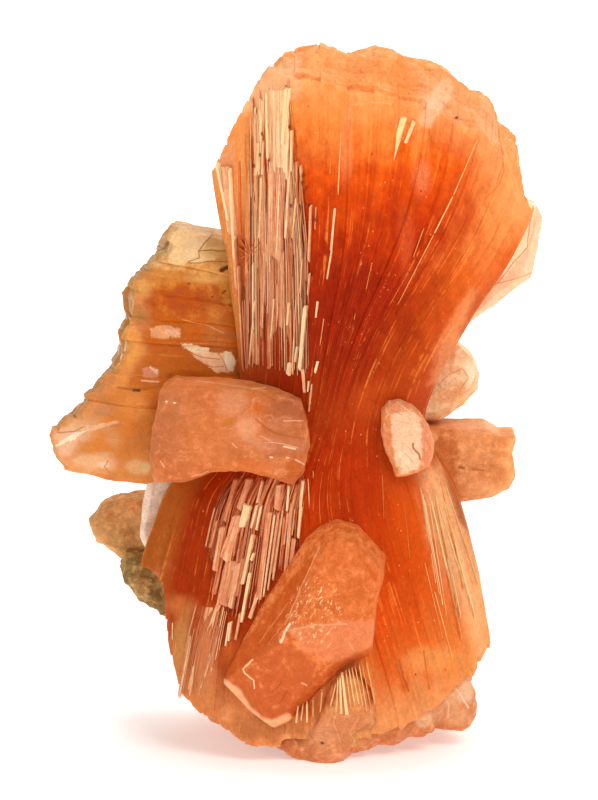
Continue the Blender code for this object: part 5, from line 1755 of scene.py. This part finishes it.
# Patches on the foot: its own paler and deeper tones, painted shade on its shaded lower left, and painted
# light in the shade under the block.
FOOT_PATCHES = [
    (445, 690, 30, 22, (0.93, 0.55, 0.29), 0.75), (423, 720, 10, 9, (0.93, 0.58, 0.33), 0.6),
    (455, 716, 16, 12, (0.82, 0.42, 0.2), 0.7), (466, 690, 10, 14, (0.95, 0.6, 0.38), 0.6),
    # Both patches on the next line are painted shade on the foot's shaded lower left.
    (216, 704, 18, 14, (0.44, 0.26, 0.15), 0.85), (230, 712, 22, 8, (0.68, 0.32, 0.15), 0.6),
    # The first patch on the next line is painted shade, below the block's lip.
    (280, 740, 26, 14, (0.5, 0.15, 0.055), 0.8), (325, 735, 20, 18, (0.82, 0.37, 0.18), 0.6),
    (350, 735, 24, 12, (0.76, 0.28, 0.1), 0.6), (378, 722, 18, 18, (0.76, 0.29, 0.1), 0.6),
    (390, 708, 16, 12, (0.64, 0.2, 0.05), 0.7), (400, 690, 16, 14, (0.72, 0.2, 0.04), 0.6),
    (420, 672, 16, 10, (0.91, 0.42, 0.16), 0.6), (340, 756, 22, 4, (0.86, 0.4, 0.24), 0.6),
    # The second patch on the next line is painted light that lifts the shade under the block.
    (326, 712, 18, 10, (0.88, 0.38, 0.14), 0.5), (352, 690, 26, 26, (0.92, 0.36, 0.11), 0.8),
]
FOOT_LINES_SEEN = [
    ([(323.4, 741), (324.6, 741)], 2.6, (0.16, 0.05, 0.02), 0.9),
    ([(386, 690), (392, 700), (390, 714), (384, 728)], 1.4, (0.93, 0.52, 0.26), 0.6),
    ([(400, 694), (410, 706), (404, 722)], 1.4, (0.93, 0.54, 0.28), 0.6),
    ([(380, 712), (382, 728)], 1.4, (0.46, 0.13, 0.03), 0.7),
    ([(396, 668), (406, 680)], 1.2, (0.93, 0.5, 0.22), 0.6),
    ([(454, 684), (462, 692), (470, 706)], 1.8, (0.97, 0.72, 0.48), 0.7),
    ([(444, 690), (452, 704), (450, 716)], 1.4, (0.95, 0.62, 0.36), 0.6),
    ([(430, 700), (440, 690), (456, 688)], 1.2, (0.78, 0.34, 0.14), 0.6),
    ([(340, 700), (336, 722), (342, 740)], 1.2, (0.9, 0.48, 0.26), 0.5),
    ([(360, 716), (352, 730), (358, 744)], 1.2, (0.9, 0.46, 0.22), 0.5),
    ([(292, 732), (300, 744)], 1.4, (0.86, 0.42, 0.24), 0.5),
    ([(218, 704), (232, 706), (246, 712)], 1.4, (0.93, 0.54, 0.32), 0.6),
    ([(222, 694), (232, 698)], 2.6, (0.34, 0.15, 0.06), 0.6),
]
foot_paint = matte_paint("foot stilbite", (0.72, 0.265, 0.1), (0.62, 0.19, 0.06), (0.9, 0.47, 0.24),
                         scatter=1.8, lines=0.5, patches=FOOT_PATCHES, strokes=FOOT_LINES_SEEN,
                         roughness=0.42, run=(0.9, 0.9, 0.9), swirl=1.6, contrast=0.9)
knobs = [ring_solid("foot_" + name, knob_rings(*sizes)) for name, sizes in FOOT_CRYSTALS.items()]
knobs.append(ring_solid("foot_fan", slab_rings(FOOT_FAN, **FOOT_FAN_DEPTHS)))
foot = join(knobs, "foot_crystals")
apply_modifier(foot, "REMESH", mode="VOXEL", voxel_size=0.4 * MM)
apply_modifier(foot, "SMOOTH", factor=0.6, iterations=6)
roughen(foot, 0.2, ("CLOUDS", 2.4, 0.9), ("CLOUDS", 0.9, 0.3), ("VORONOI", 0.8, 0.12))
cut_flat(foot)
dress(foot, foot_paint, "orange_stilbite", "bow_tie_sheaf")
